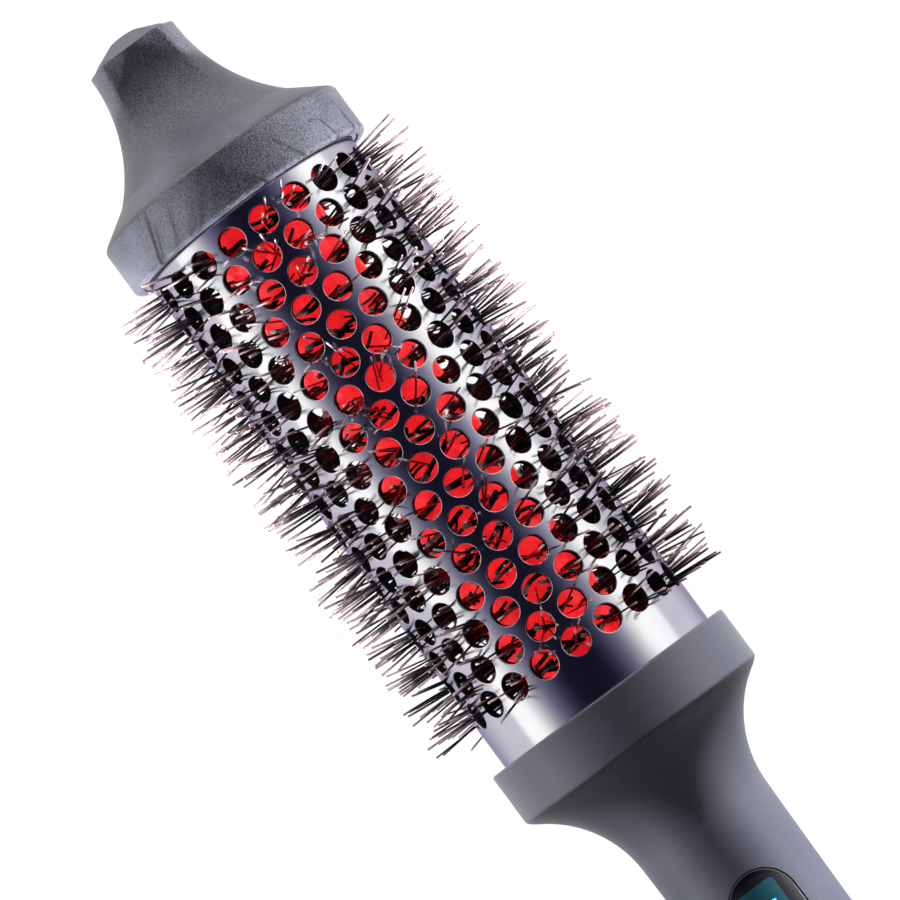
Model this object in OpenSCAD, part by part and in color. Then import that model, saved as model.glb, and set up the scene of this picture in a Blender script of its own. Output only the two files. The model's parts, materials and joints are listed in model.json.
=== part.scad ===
// Heated round brush with a perforated barrel, bristle tufts, a display handle and a swivelling cord gland.
// Everything is laid out along the brush's own axis: x runs from the collar's front face to the tip,
// z points the way the display faces. set_down() then stands the whole brush on its bristles.

/* [Barrel] */
// Outside diameter of the barrel
barrel_d = 50; // [46:0.5:54]
// Thickness of the barrel's wall
barrel_wall = 1.5; // [1:0.1:2]
// Length of barrel that shows between the collar and the tip's band
barrel_show = 119; // [116:0.5:126]
// Length of each barrel end that is hidden in the collar and in the tip
barrel_seat = 6; // [5:0.5:7]
// Diameter of the holes in the barrel
hole_d = 5.9; // [4:0.1:6.2]
// Holes in a long row; the short rows between have one less
hole_count = 9; // [7:1:9]
// Distance from the collar to the first hole
first_hole = 11.5; // [11:0.1:12.5]
// Distance from the last hole to the tip's band
last_hole = 5.1; // [4.6:0.1:5.6]
// Long rows round the barrel, with as many short rows between them
row_count = 20; // [16:1:20]

/* [Bristles] */
// Diameter over the bristle ends
brush_d = 72; // [66:1:80]
// Thickness of one bristle strand
strand_d = 0.8; // [0.5:0.05:1]
// How deep the bristle ends are flattened where the brush rests on them
rest_flat = 0.5; // [0.4:0.1:0.8]
// Largest lean of a strand along the brush, in degrees
lean_along = 6; // [0:1:8]
// Largest lean of a strand round the brush, in degrees
lean_round = 2; // [0:0.5:3]
// Width of a ring that carries bristles
carrier_w = 1.2; // [1:0.1:1.6]
// Thickness of a ring that carries bristles
carrier_t = 1.2; // [1:0.1:1.6]

/* [Heater] */
// Outside diameter of the red core
core_d = 24; // [22:0.5:26]
// Thickness of the core's wall
core_wall = 2; // [1:0.1:2]
// Thickness of the flat ceramic heater
heater_t = 2.5; // [2:0.1:3]
// Width of the flat ceramic heater
heater_w = 15; // [12:0.5:16]
// Distance that the heater stands back from each end of the core
heater_back = 8; // [7:0.5:12]
// Radius of the grooves for the sensor and the fuse
groove_r = 1.3; // [1.2:0.05:1.4]
// Place of the sensor and its leads to the side of the axis
lead_y = 5; // [4.5:0.1:5.5]
// Diameter of the heater's and the supply's leads
lead_d = 1.5; // [1:0.1:1.8]
// Diameter of the sensor's and the fuse's leads
sensor_lead_d = 1; // [0.8:0.1:1.2]

/* [Tip] */
// Diameter of the tip's band
band_d = 56.6; // [55.4:0.2:60]
// Length of the tip's band
band_len = 11.1; // [10.2:0.1:12]
// Length of the chamfer in front of the band
chamfer_len = 4.2; // [3.8:0.1:4.8]
// Radius of the tip where the chamfer ends
chamfer_end_r = 21.2; // [20.8:0.1:21.8]
// Length of the trumpet neck
trumpet_len = 25.3; // [24.1:0.2:26.7]
// Radius of the trumpet's curve
trumpet_r = 34.6; // [33:0.2:37]
// Diameter of the tip's narrow end
tip_d = 20.2; // [19.4:0.2:21]
// Height of the pointed end
point_h = 3.6; // [3.2:0.1:4.2]
// Radius of the rounding on the point
point_r = 12; // [10:0.5:14]
// Distance of the finger flats from the axis at their deepest place
finger_flat = 7.3; // [7:0.1:8]
// Distance of that place from the narrow end
finger_back = 4.1; // [3.5:0.1:4.5]
// Radius of the finger flats' scoop
finger_r = 23; // [22.5:0.1:24]
// Wall of the tip and of the handle's shells
wall = 2.4; // [2:0.1:2.6]
// Rounding of the tip band's rear edge
band_round = 1.4; // [1:0.1:1.8]
// Length of the dark lip ring at the tip's mouth
lip_len = 3; // [2:0.2:3.6]
// Thickness of the dark lip ring
lip_t = 1.2; // [0.8:0.1:1.4]

/* [Collar] */
// Diameter of the collar band
collar_d = 56.4; // [55.4:0.2:60]
// Length of the collar band
collar_len = 11.4; // [10:0.1:12]
// Rounding of the collar's front edge
collar_front_round = 0.7; // [0.6:0.1:1.2]
// Rounding of the collar's rear edge
collar_rear_round = 0.3; // [0.2:0.1:0.8]
// Thickness of the collar's inner web
web_t = 2; // [1.8:0.1:2.2]
// Length of the spigot that centres the shells
spigot_len = 3.2; // [2.8:0.1:3.5]
// Radius of the circle of hub screws
hub_screw_r = 15.5; // [15.2:0.1:15.8]

/* [Handle] */
// Radius of the curve from the collar to the neck
flare_r = 23.7; // [23:0.1:25]
// Distance from the collar's face to the neck
neck_at = 33; // [32.5:0.5:35]
// Diameter of the neck
neck_d = 30.2; // [29.6:0.1:31]
// Diameter of the handle's waist
waist_d = 29.2; // [28.6:0.1:29.6]
// Distance from the collar's face to the waist
waist_at = 80; // [76:1:84]
// Length of the handle's shells behind the control panel
rear_len = 42.7; // [42.2:0.5:52.2]
// Length of the tail cap behind the shells
tail_len = 11; // [10:0.5:14]
// Diameter of the screws
screw_d = 2.5; // [2:0.1:2.6]
// Diameter of the screws' heads
screw_head_d = 4.4; // [4:0.1:4.8]
// Diameter of the screw bosses
boss_d = 6; // [5.6:0.1:6.4]
// Distance from the front handle screw to the control panel
screw_lead = 4.9; // [4.4:0.1:5.9]
// Distance from the control panel to the middle handle screw
screw_back = 3.6; // [3.6:0.1:4.6]

/* [Control panel] */
// Distance from the collar's face to the panel
panel_at = 44.3; // [44:0.1:46.5]
// Length of the panel
panel_len = 59; // [58:0.5:59.5]
// Width of the panel
panel_w = 14.7; // [14.3:0.1:16]
// Depth that the panel lies below the handle's waist surface
panel_inset = 0.1; // [0:0.05:0.3]
// Thickness of the panel
panel_t = 1.4; // [1.2:0.05:1.5]
// Width of the ledge that carries the panel
ledge_w = 1.2; // [1:0.1:1.5]
// Distance from the panel's front end to the display window
window_back = 3.3; // [3:0.1:4]
// Width of the display window
window_w = 8.6; // [8:0.1:9.4]
// Thickness of the display window
window_t = 1.1; // [0.8:0.05:1.2]
// Diameter of the buttons
button_d = 7; // [6:0.1:7.4]
// Distance between the buttons
button_pitch = 10.5; // [10:0.1:10.8]
// Distance from the display window to the first button's middle
button_back = 7.5; // [6.6:0.1:8]
// Distance from the last button's middle to the panel's rear end
button_end = 9.3; // [7:0.1:9.5]
// How far the buttons stand above the panel
button_proud = 0.7; // [0.5:0.05:1]
// Travel of the buttons
button_travel = 0.45; // [0.3:0.05:0.5]

/* [Electronics] */
// Height of the control board's top above the axis
board_top = 6; // [5.7:0.05:6]
// Thickness of the boards
board_t = 1.6; // [1.2:0.1:1.6]
// Depth of the power board's top below the axis
power_top = 2.4; // [2.35:0.05:3]
// Distance from the power board to the screw bosses before and behind it
power_clear = 1; // [0.8:0.1:1.5]
// Height of the push switches
switch_h = 3.5; // [3:0.1:3.6]
// Side of the push switches
switch_w = 6; // [5.5:0.1:6.5]
// Diameter of the switch stems
stem_d = 3.4; // [3:0.1:3.6]
// Height of a switch stem above its case
stem_out = 1; // [0.8:0.1:1.2]

/* [Cord swivel] */
// Diameter of the hole that the cord goes through
cord_hole_d = 6.6; // [5.5:0.1:7]
// Diameter of the swivelling gland's shaft
gland_d = 13; // [12:0.1:13.4]
// Diameter of the gland's inner flange
gland_flange_d = 17.2; // [16.8:0.1:17.6]
// Thickness of the gland's inner flange
gland_flange_t = 2; // [1.5:0.1:2.4]
// Diameter of the gland's nose
nose_d = 16.6; // [15.5:0.1:17.4]
// Length of the gland's nose
nose_len = 5.7; // [5:0.1:8]
// Thickness of the slip contact rings
contact_t = 0.5; // [0.4:0.05:0.6]

/* [Clearances] */
// Radial clearance between a piece and the bore that it is fixed in
seat_gap = 0.05; // [0.03:0.01:0.08]
// Radial running clearance of the swivelling gland
run_gap = 0.06; // [0.02:0.01:0.1]
// Gap between pieces that don't touch
air_gap = 0.25; // [0.2:0.05:0.3]

/* [Hidden] */
round_fn = 96;
small_fn = 32;
arc_steps = 20;
edge_steps = 6;
more = 1;                                   // how far a cutter runs past what it cuts

barrel_turn = 1.4;                          // degrees that the rows stand turned from the display
lip_back = 0.2;                             // how far the lip ring lies inside the tip's mouth
lip_r = barrel_d / 2 + seat_gap + lip_t;
barrel_r = barrel_d / 2;
barrel_in = barrel_r - barrel_wall;
barrel_end = barrel_show + barrel_seat;     // front end of the barrel and of the core
core_r = core_d / 2;
core_in = core_r - core_wall;
row_turn = 360 / row_count;                 // angle between rows of one kind
hole_pitch = (barrel_show - first_hole - last_hole) / (hole_count - 1);
ring_count = 2 * hole_count - 1;            // every column of holes has a ring inside
brush_r = brush_d / 2;
rest_h = brush_r - rest_flat;               // height of the axis above what the brush rests on
carrier_in = core_r + seat_gap;
carrier_r = carrier_in + carrier_t;
socket_r = barrel_r + 4 * seat_gap;         // inside radius of the collar and of the tip's mouth

hub_flange_t = 2.7;
hub_rim_len = barrel_seat - more;
hub_rim_t = 2;
hub_boss_t = 2;
hub_r = barrel_in - seat_gap;
hub_hole_r = 9.2;                           // leads pass here
screw_r = screw_d / 2;
screw_head_r = screw_head_d / 2;
screw_head_t = 1.6;
screw_count = 3;
hub_screw_len = 10;

band_r = band_d / 2;
tip_r = tip_d / 2;
hub_front = barrel_end + hub_flange_t;      // where the tip sits against the front hub
band_front = barrel_show + band_len;
chamfer_front = band_front + chamfer_len;
tip_rim = chamfer_front + trumpet_len;
tip_end = tip_rim + point_h;
chamfer_soft = 0.7;                         // how much the band's front edge is eased
point_slope = 0.46;                         // rise of the pointed end for each mm of radius
flat_slope = 0.5;                           // the same over the finger flats
finger_rim = finger_flat + finger_r - side_at(finger_r, finger_back);
hollow_front = chamfer_front + 1.7;         // the neck is solid in front of this, under the flats

shell_end = panel_at + panel_len + rear_len;
screw_front = panel_at - screw_lead;
screw_middle = panel_at + panel_len + screw_back;
collar_r = collar_d / 2;
collar_rim_r = collar_r - collar_rear_round; // radius of the collar's flat rear face
web_front = collar_len - web_t;             // distance behind the collar's face
neck_r = neck_d / 2;
waist_r = waist_d / 2;
tail_spigot_len = 2.7;
tail_front = shell_end - tail_spigot_len;
block_t = 2;                                // thickness of the block that carries the wipers
block_front = tail_front - block_t;
screw_rear = block_front - air_gap - boss_d / 2;
handle_screws_at = [screw_front, screw_middle, screw_rear];
swell = (neck_r - waist_r) / pow(waist_at - neck_at, 2);
shell_in_r = waist_r - wall;
tail_end = shell_end + tail_len;
gland_end = tail_end + air_gap + nose_len;
middle_x = (tip_end - gland_end) / 2;

panel_r = waist_r - panel_inset;
panel_floor_r = panel_r - panel_t;
panel_mid = panel_at + panel_len / 2;
window_len = panel_len - window_back - button_back - 2 * button_pitch - button_end;
window_mid = panel_at + window_back + window_len / 2;
window_end = panel_at + window_back + window_len;
window_corner = 1.1;
board_back = 1.1;                           // from the panel's ends to the board's ends
board_bottom = board_top - board_t;
board_front = panel_at + board_back;
board_rear = panel_at + panel_len - 2 * board_back;
board_half = side_at(shell_in_r, board_top) - 3 * seat_gap;
display_top = side_at(panel_floor_r, window_w / 2) - air_gap;
button_r = button_d / 2;
button_places = [for (i = [0:2]) window_end + button_back + i * button_pitch];
button_flange_t = 0.8;
button_flange_r = button_r + button_flange_t;
button_flange_top = side_at(panel_floor_r, button_flange_r) - air_gap;
button_foot = board_top + switch_h + stem_out;
button_top_r = panel_r + button_proud;
stem_r = stem_d / 2;
stem_in = switch_h / 2;                     // how deep the stem reaches into its case

part_step = 3;                              // spacing of what sits on the power board
triac_size = [4.5, 5, 9];
relay_size = [4, 7, 10];
capacitor_d = 7;
capacitor_h = 11;
power_front = screw_middle + boss_d / 2 + power_clear;
power_rear = screw_rear - boss_d / 2 - power_clear;
power_bottom = power_top + board_t;
power_half = side_at(shell_in_r, power_bottom) - 3 * seat_gap;
lead_r = lead_d / 2;
lead_drop = power_top - lead_r - seat_gap;  // depth of the heater's leads below the axis
sensor_from = 40;                           // the sensor and the fuse lie side by side in the core
sensor_len = 10;
sensor_z = board_top + sensor_lead_d / 2 + seat_gap;

gland_r = gland_d / 2;
gland_flange_r = gland_flange_d / 2;
nose_r = nose_d / 2;
tail_floor = shell_end + 1.2;               // where the gland's flange bears
retainer_lip = 0.6;                         // how far the retainer reaches over the gland's flange
tail_bore_r = gland_flange_r + retainer_lip;
tail_round = 6;
nose_round = 2.4;
tail_spigot_r = hollow_r(tail_front) - seat_gap;
gland_front = tail_floor - run_gap - gland_flange_t;
contact_front = gland_front - contact_t;
wiper_rear = contact_front - air_gap;
head_z = shell_in_r - 0.4;                  // depth of the handle screws' heads below the axis
shell_screw_up = 7;                         // how far a handle screw reaches into the upper boss
contact_radii = [4.5, 7];
contact_w = 1.2;

rings = [for (i = [1:ring_count]) str("bristle_ring_", i)];

// Half width of a circle of radius r at height h
function side_at(r, h) = sqrt(r * r - h * h);

// Radius of the handle's surface at distance d behind the collar's face
function grip_r(d) = d < neck_at
    ? neck_r + flare_r - side_at(flare_r, neck_at - d)
    : waist_r + swell * pow(d - waist_at, 2);

// Radius of the handle's hollow at distance d behind the collar's face
function hollow_r(d) = d < neck_at
    ? neck_r + flare_r - side_at(flare_r + wall, neck_at - d)
    : grip_r(d) - wall;

// Radius of the trumpet's surface at place x, moved inwards by t
function trumpet_at(x, t) = tip_r + trumpet_r - side_at(trumpet_r + t, tip_rim - x);

// Places spread evenly from a to b
function spread(a, b, n) = [for (i = [0:n]) a + (b - a) * i / n];

// Points of a quarter-round edge: centre, radius, first and last angle
function edge(cr, cx, r, a, b) = [for (t = spread(a, b, edge_steps)) [cr + r * cos(t), cx + r * sin(t)]];

// Stands the brush on its flattened bristles, its middle over the origin
module set_down() {
    translate([-middle_x, 0, rest_h]) children();
}

// Turns a flat outline, drawn as radius and place, round the brush's axis
module turned() {
    rotate([0, 90, 0]) rotate_extrude($fn = round_fn) children();
}

// A round bar along the axis from one place to another
module bar(r, from, to) {
    translate([from, 0, 0]) rotate([0, 90, 0]) cylinder(r = r, h = to - from, $fn = round_fn);
}

// A tube along the axis from one place to another
module tube(r, r_in, from, to) {
    difference() {
        bar(r, from, to);
        bar(r_in, from - more, to + more);
    }
}

// A thin round rod along the axis, off to one side
module rod(r, from, to, y, z) {
    translate([from, y, z]) rotate([0, 90, 0]) cylinder(r = r, h = to - from, $fn = small_fn);
}

// An upright round post, d behind the collar's face
module post(r, d, low, high) {
    translate([-d, 0, low]) cylinder(r = r, h = high - low, $fn = small_fn);
}

// Repeats a shape at the places of the hub screws
module at_hub_screws() {
    for (i = [0:screw_count - 1]) {
        rotate([90 + 360 * i / screw_count, 0, 0]) translate([0, 0, hub_screw_r]) children();
    }
}

// Upright slot shape with round ends, d behind the collar's face
module upright_slot(d_mid, len, w, low, high) {
    translate([-d_mid, 0, low]) linear_extrude(height = high - low) {
        square([len - w, w], center = true);
        for (side = [-1, 1]) translate([side * (len - w) / 2, 0]) circle(d = w, $fn = 64);
    }
}

// Upright rectangle with rounded corners
module upright_window(len, w, r, low, high) {
    translate([-window_mid, 0, low]) linear_extrude(height = high - low) {
        square([len - 2 * r, w], center = true);
        square([len, w - 2 * r], center = true);
        for (a = [-1, 1]) for (b = [-1, 1]) {
            translate([a * (len / 2 - r), b * (w / 2 - r)]) circle(r = r, $fn = small_fn);
        }
    }
}

// Barrel, heater and bristles

module barrel() {
    color([0.2, 0.19, 0.23]) set_down() difference() {
        tube(barrel_r, barrel_in, -barrel_seat, barrel_end);
        for (i = [0:ring_count - 1]) for (k = [0:row_count - 1]) barrel_hole(i, k);
    }
}

// One hole of the barrel: column i along it, row k round it
module barrel_hole(i, k) {
    translate([ring_place(i), 0, 0]) rotate([ring_angle(i) + k * row_turn, 0, 0])
        translate([0, 0, barrel_in - more]) cylinder(d = hole_d, h = barrel_wall + 2 * more, $fn = 20);
}

// Place along the barrel and turn of column i; every other column belongs to the short rows
function ring_place(i) = first_hole + i * hole_pitch / 2;
function ring_angle(i) = barrel_turn + (i % 2) * row_turn / 2;

module bristle_ring(i) {
    color([0.13, 0.1, 0.1]) set_down() {
        tube(carrier_r, carrier_in, ring_place(i) - carrier_w / 2, ring_place(i) + carrier_w / 2);
        for (k = [0:row_count - 1]) strand(i, k);
    }
}

// One three-sided strand from its carrier ring through its hole, cut flat where the brush rests
module strand(i, k) {
    turn = -ring_angle(i) - k * row_turn;
    out = [0, sin(turn), cos(turn)];
    round = [0, cos(turn), -sin(turn)];
    along = [1, 0, 0];
    heading = out
        + along * tan(lean_along) * sin(137 * (i + 1) + 83 * k)
        + round * tan(lean_round) * cos(59 * (i + 1) + 151 * k);
    start_r = carrier_r - carrier_t / 2;
    reach = brush_r - start_r;
    start = along * ring_place(i) + out * start_r;
    base = [for (a = [0, 120, 240]) start + strand_d / 2 * (along * cos(a) + round * sin(a))];
    tops = [for (p = base) p + heading * length_to_rest(p, heading, reach)];
    polyhedron(
        points = concat(base, tops),
        faces = [[0, 1, 2], [5, 4, 3], [1, 0, 3], [1, 3, 4], [2, 1, 4], [2, 4, 5], [0, 2, 5], [0, 5, 3]]
    );
}

// A strand's length from point p, stopped at the plane that the brush rests on
function length_to_rest(p, heading, reach) = heading[2] < 0
    ? min(reach, (-rest_h - p[2]) / heading[2])
    : reach;

module heater_core() {
    color([0.9, 0.07, 0.06]) set_down() tube(core_r, core_in, -barrel_seat, barrel_end);
}

// Half-round aluminium bar that presses on the heater; side is 1 above it and -1 below
module spreader(side) {
    from = -barrel_seat + heater_back;
    to = barrel_end - heater_back;
    intersection() {
        bar(core_in - seat_gap, from, to);
        translate([from, -core_in, side > 0 ? heater_t / 2 + seat_gap : -core_in])
            cube([to - from, 2 * core_in, core_in - heater_t / 2 - seat_gap]);
    }
}

module upper_spreader() {
    color([0.75, 0.76, 0.78]) set_down() difference() {
        spreader(1);
        for (side = [-1, 1]) rod(groove_r, -barrel_seat, barrel_end, side * lead_y, sensor_z);
    }
}

module lower_spreader() {
    color([0.75, 0.76, 0.78]) set_down() spreader(-1);
}

module flat_heater() {
    from = -barrel_seat + heater_back;
    color([0.9, 0.9, 0.86]) set_down()
        translate([from, -heater_w / 2, -heater_t / 2])
            cube([barrel_end - heater_back - from, heater_w, heater_t]);
}

module temperature_sensor() {
    color([0.75, 0.5, 0.2]) set_down()
        rod(groove_r - 4 * seat_gap, sensor_from, sensor_from + sensor_len, lead_y, sensor_z);
}

module thermal_fuse() {
    color([0.7, 0.7, 0.68]) set_down()
        rod(groove_r - 2 * seat_gap, sensor_from, sensor_from + sensor_len, -lead_y, sensor_z);
}

module sensor_leads() {
    color([0.85, 0.82, 0.75]) set_down() for (side = [-1, 1]) {
        rod(sensor_lead_d / 2, -panel_at - window_back + air_gap, sensor_from, side * lead_y, sensor_z);
    }
}

module heater_leads() {
    color([0.8, 0.75, 0.7]) set_down() for (side = [-1, 1]) {
        rod(lead_r, -power_front - part_step, -barrel_seat + heater_back, side * lead_y, -lead_drop);
    }
}

// Heat-proof hub: flange, rim inside the barrel, boss round the core; x runs into the barrel
module hub() {
    difference() {
        union() {
            bar(barrel_r - seat_gap, -hub_flange_t, 0);
            tube(hub_r, hub_r - hub_rim_t, -more / 2, hub_rim_len);
            bar(core_r + seat_gap + hub_boss_t, -more / 2, barrel_seat);
            at_hub_screws() rod(boss_d / 2, -more / 2, barrel_seat, 0, 0);
        }
        bar(core_r + seat_gap, 0, barrel_seat + more);
        bar(hub_hole_r, -hub_flange_t - more, more);
        at_hub_screws() rod(screw_r + seat_gap, -hub_flange_t - more, barrel_seat + more, 0, 0);
    }
}

module front_hub() {
    color([0.25, 0.25, 0.27]) set_down() translate([barrel_end, 0, 0]) mirror([1, 0, 0]) hub();
}

module rear_hub() {
    color([0.25, 0.25, 0.27]) set_down() translate([-barrel_seat, 0, 0]) hub();
}

// A screw along the axis: its head lies before the place given, its shank runs on from there
module screw(len) {
    rod(screw_head_r, -screw_head_t, 0, 0, 0);
    rod(screw_r, -more / 2, len, 0, 0);
}

module front_hub_screws() {
    color([0.6, 0.6, 0.62]) set_down()
        at_hub_screws() translate([barrel_end - barrel_seat, 0, 0]) screw(hub_screw_len + barrel_seat);
}

module rear_hub_screws() {
    color([0.6, 0.6, 0.62]) set_down() at_hub_screws() translate([-collar_len, 0, 0]) screw(hub_screw_len);
}

// Tip

module tip_cap() {
    color([0.27, 0.28, 0.31]) set_down() difference() {
        turned() polygon(tip_outline());
        for (side = [0, 180]) rotate([side, 0, 0]) finger_scoop();
        tip_hollow();
    }
}

// Outline of the tip from its mouth to its point, as radius and place
function tip_outline() = concat(
    [[0, barrel_show]],
    edge(band_r - band_round, barrel_show + band_round, band_round, -90, 0),
    [[band_r, band_front - more], [band_r - chamfer_soft, band_front]],
    [[chamfer_end_r, chamfer_front]],
    [for (x = spread(chamfer_front, tip_rim, arc_steps)) [trumpet_at(x, 0), x]],
    [for (r = spread(tip_r, 0, edge_steps)) [r, min(point_at(r), tip_end - r * r / 2 / point_r)]]
);

// Place of the conical end at radius r
function point_at(r) = tip_rim + (tip_r - r) * point_slope;

// What is cut away over one finger flat: a scoop, and the slope of the pointed end
module finger_scoop() {
    translate([0, band_r, 0]) rotate([90, 0, 0]) linear_extrude(height = band_d) {
        intersection() {
            translate([tip_rim - finger_back, finger_flat + finger_r]) circle(r = finger_r, $fn = 128);
            translate([band_front, 0]) square([tip_rim - band_front, 2 * finger_r]);
        }
        polygon([
            [tip_rim - point_h, finger_rim + point_h],
            [tip_rim, finger_rim],
            [tip_rim + finger_rim * flat_slope, 0],
            [tip_rim + tip_r, 0],
            [tip_rim + tip_r, band_r],
            [tip_rim - point_h, band_r]
        ]);
    }
}

// Inside of the tip: the mouth over the barrel, the seat of the lip ring, and the hollow with its posts
module tip_hollow() {
    bar(socket_r, barrel_show - more, hub_front);
    bar(lip_r + seat_gap, barrel_show - more, barrel_show + lip_back + lip_len);
    difference() {
        turned() polygon(concat(
            [[0, hub_front - seat_gap], [trumpet_at(hub_front + wall, wall), hub_front - seat_gap]],
            [for (x = spread(hub_front + wall, hollow_front, arc_steps / 2)) [trumpet_at(x, wall), x]],
            [[0, hollow_front]]
        ));
        at_hub_screws() difference() {
            rod(boss_d / 2, hub_front, hollow_front, 0, 0);
            rod(screw_r + seat_gap, hub_front - more, barrel_end + hub_screw_len + more, 0, 0);
        }
    }
}

module lip_ring() {
    color([0.06, 0.06, 0.07]) set_down()
        tube(lip_r, barrel_r + seat_gap, barrel_show + lip_back, barrel_show + lip_back + lip_len);
}

// Collar and handle

module collar() {
    spigot_r = hollow_r(collar_len + spigot_len) - 3 * seat_gap;
    color([0.3, 0.3, 0.33]) set_down() difference() {
        union() {
            turned() polygon(concat(
                [[0, -collar_len]],
                edge(collar_rim_r, -collar_len + collar_rear_round, collar_rear_round, -90, 0),
                edge(collar_r - collar_front_round, -collar_front_round, collar_front_round, 0, 90),
                [[0, 0]]
            ));
            bar(spigot_r, -collar_len - spigot_len, -collar_len + more);
        }
        bar(socket_r, -web_front, more);
        bar(spigot_r - web_t, -collar_len - spigot_len - more, -collar_len);
        bar(hub_hole_r + web_t, -collar_len - more, 0);
        at_hub_screws() rod(screw_r + seat_gap, -collar_len - more, 0, 0, 0);
    }
}

// Solid of the handle's outline, t inside its surface, from the collar's rear face to the shells' end
module grip_solid(t, from, to) {
    turned() polygon(concat(
        [[0, -to]],
        [for (d = spread(to, neck_at, 11)) [grip_r(d) - t, -d]],
        [for (d = spread(neck_at, from, arc_steps)) [min(grip_r(d), collar_rim_r) - t, -d]],
        [[0, -from]]
    ));
}

// Hollow of the handle, wall inside its surface
module grip_hollow() {
    turned() polygon(concat(
        [[0, -shell_end - more]],
        [for (d = spread(shell_end + more, neck_at, 11)) [hollow_r(d), -d]],
        [for (d = spread(neck_at, collar_len - more / 10, arc_steps / 2)) [hollow_r(d), -d]],
        [[0, -collar_len + more / 10]]
    ));
}

// One half of the handle's shell; side is 1 for the upper and -1 for the lower
module half_shell(side) {
    difference() {
        grip_solid(0, collar_len, shell_end);
        difference() {
            grip_hollow();
            for (d = handle_screws_at) boss(d, side);
        }
        translate([-shell_end - more, -band_r, side > 0 ? -2 * band_r : 0])
            cube([shell_end + more, 2 * band_r, 2 * band_r]);
    }
}

// Screw boss from the shell's wall to the joint between the shells
module boss(d, side) {
    post(boss_d / 2, d, side > 0 ? 0 : -waist_r, side > 0 ? waist_r : 0);
}

module upper_shell() {
    color([0.3, 0.3, 0.33]) set_down() difference() {
        half_shell(1);
        for (d = handle_screws_at) post(screw_r + seat_gap, d, -more, shell_screw_up + more);
        difference() {
            upright_slot(panel_mid, panel_len + 2 * seat_gap, panel_w + 2 * seat_gap, board_top, neck_d);
            bar(panel_floor_r - seat_gap, -panel_at - panel_len - more, -panel_at + more);
        }
        upright_slot(panel_mid, panel_len - 2 * ledge_w, panel_w - 2 * ledge_w, board_top, neck_d);
    }
}

module lower_shell() {
    color([0.3, 0.3, 0.33]) set_down() difference() {
        half_shell(-1);
        for (d = handle_screws_at) {
            post(screw_r + seat_gap, d, -neck_d, more);
            post(screw_head_r + air_gap, d, -neck_d, -head_z);
        }
    }
}

module handle_screws() {
    color([0.6, 0.6, 0.62]) set_down() for (d = handle_screws_at) {
        post(screw_head_r, d, -head_z - screw_head_t, -head_z);
        post(screw_r, d, -head_z - more / 2, shell_screw_up);
    }
}

// Control panel

module control_panel() {
    color([0.1, 0.1, 0.11]) set_down() difference() {
        intersection() {
            upright_slot(panel_mid, panel_len, panel_w, board_top, neck_d);
            tube(panel_r, panel_floor_r, -panel_at - panel_len - more, -panel_at + more);
        }
        upright_window(
            window_len + 2 * seat_gap, window_w + 2 * seat_gap, window_corner + seat_gap, board_top, neck_d
        );
        for (d = button_places) post(button_r + air_gap, d, board_top, neck_r);
    }
}

module display_window() {
    color([0.16, 0.38, 0.42, 0.8]) set_down() intersection() {
        upright_window(window_len, window_w, window_corner, board_top, neck_d);
        tube(panel_r, panel_r - window_t, -panel_at - panel_len, -panel_at);
    }
}

module display_module() {
    color([0.1, 0.3, 0.34]) set_down()
        translate([-window_end, -window_w / 2, board_top])
            cube([window_len, window_w, display_top - board_top]);
}

module control_board() {
    color([0.1, 0.35, 0.2]) set_down()
        translate([-board_rear, -board_half, board_bottom])
            cube([board_rear - board_front, 2 * board_half, board_t]);
}

module push_switches() {
    stem_floor = board_top + switch_h - stem_in - button_travel - air_gap;
    color([0.15, 0.15, 0.16]) set_down() for (d = button_places) difference() {
        translate([-d - switch_w / 2, -switch_w / 2, board_top]) cube([switch_w, switch_w, switch_h]);
        post(stem_r + run_gap, d, stem_floor, board_top + switch_h + more);
    }
}

// Button number i: a crowned top, a flange that stops under the panel, and a foot on its switch stem
module button(i) {
    d = button_places[i];
    intersection() {
        post(button_r, d, button_flange_top - more / 2, neck_r);
        bar(button_top_r, -d - button_d, -d + button_d);
    }
    post(button_flange_r, d, button_flange_top - button_flange_t, button_flange_top);
    post(stem_r, d, button_foot, button_flange_top);
}

module stem(i) {
    post(stem_r, button_places[i], button_foot - stem_out - stem_in, button_foot);
}

module plus_button() {
    color([0.32, 0.32, 0.35]) set_down() button(0);
}

module minus_button() {
    color([0.32, 0.32, 0.35]) set_down() button(1);
}

module power_button() {
    color([0.32, 0.32, 0.35]) set_down() button(2);
}

module plus_stem() {
    color([0.8, 0.2, 0.15]) set_down() stem(0);
}

module minus_stem() {
    color([0.8, 0.2, 0.15]) set_down() stem(1);
}

module power_stem() {
    color([0.8, 0.2, 0.15]) set_down() stem(2);
}

// Power electronics

module power_board() {
    color([0.1, 0.35, 0.2]) set_down()
        translate([-power_rear, -power_half, -power_bottom])
            cube([power_rear - power_front, 2 * power_half, board_t]);
}

module triac() {
    color([0.12, 0.12, 0.13]) set_down()
        translate([-power_rear + part_step, -triac_size[1] / 2, -power_top]) cube(triac_size);
}

module capacitor() {
    color([0.55, 0.35, 0.1]) set_down() translate([-power_front - 2 * part_step, 0, -power_top])
        cylinder(d = capacitor_d, h = capacitor_h, $fn = small_fn);
}

module relay() {
    color([0.1, 0.25, 0.45]) set_down()
        translate([-power_rear + part_step + triac_size[0] + air_gap, -relay_size[1] / 2, -power_top])
            cube(relay_size);
}

module supply_leads() {
    color([0.3, 0.2, 0.15]) set_down() for (side = [-1, 1]) {
        rod(lead_r, -block_front, -power_rear + part_step, side * lead_y, -lead_drop);
    }
}

// Tail and cord swivel

module contact_block() {
    color([0.85, 0.83, 0.78]) set_down()
        tube(hollow_r(block_front) - 3 * seat_gap, cord_hole_d / 2, -tail_front, -block_front);
}

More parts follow.
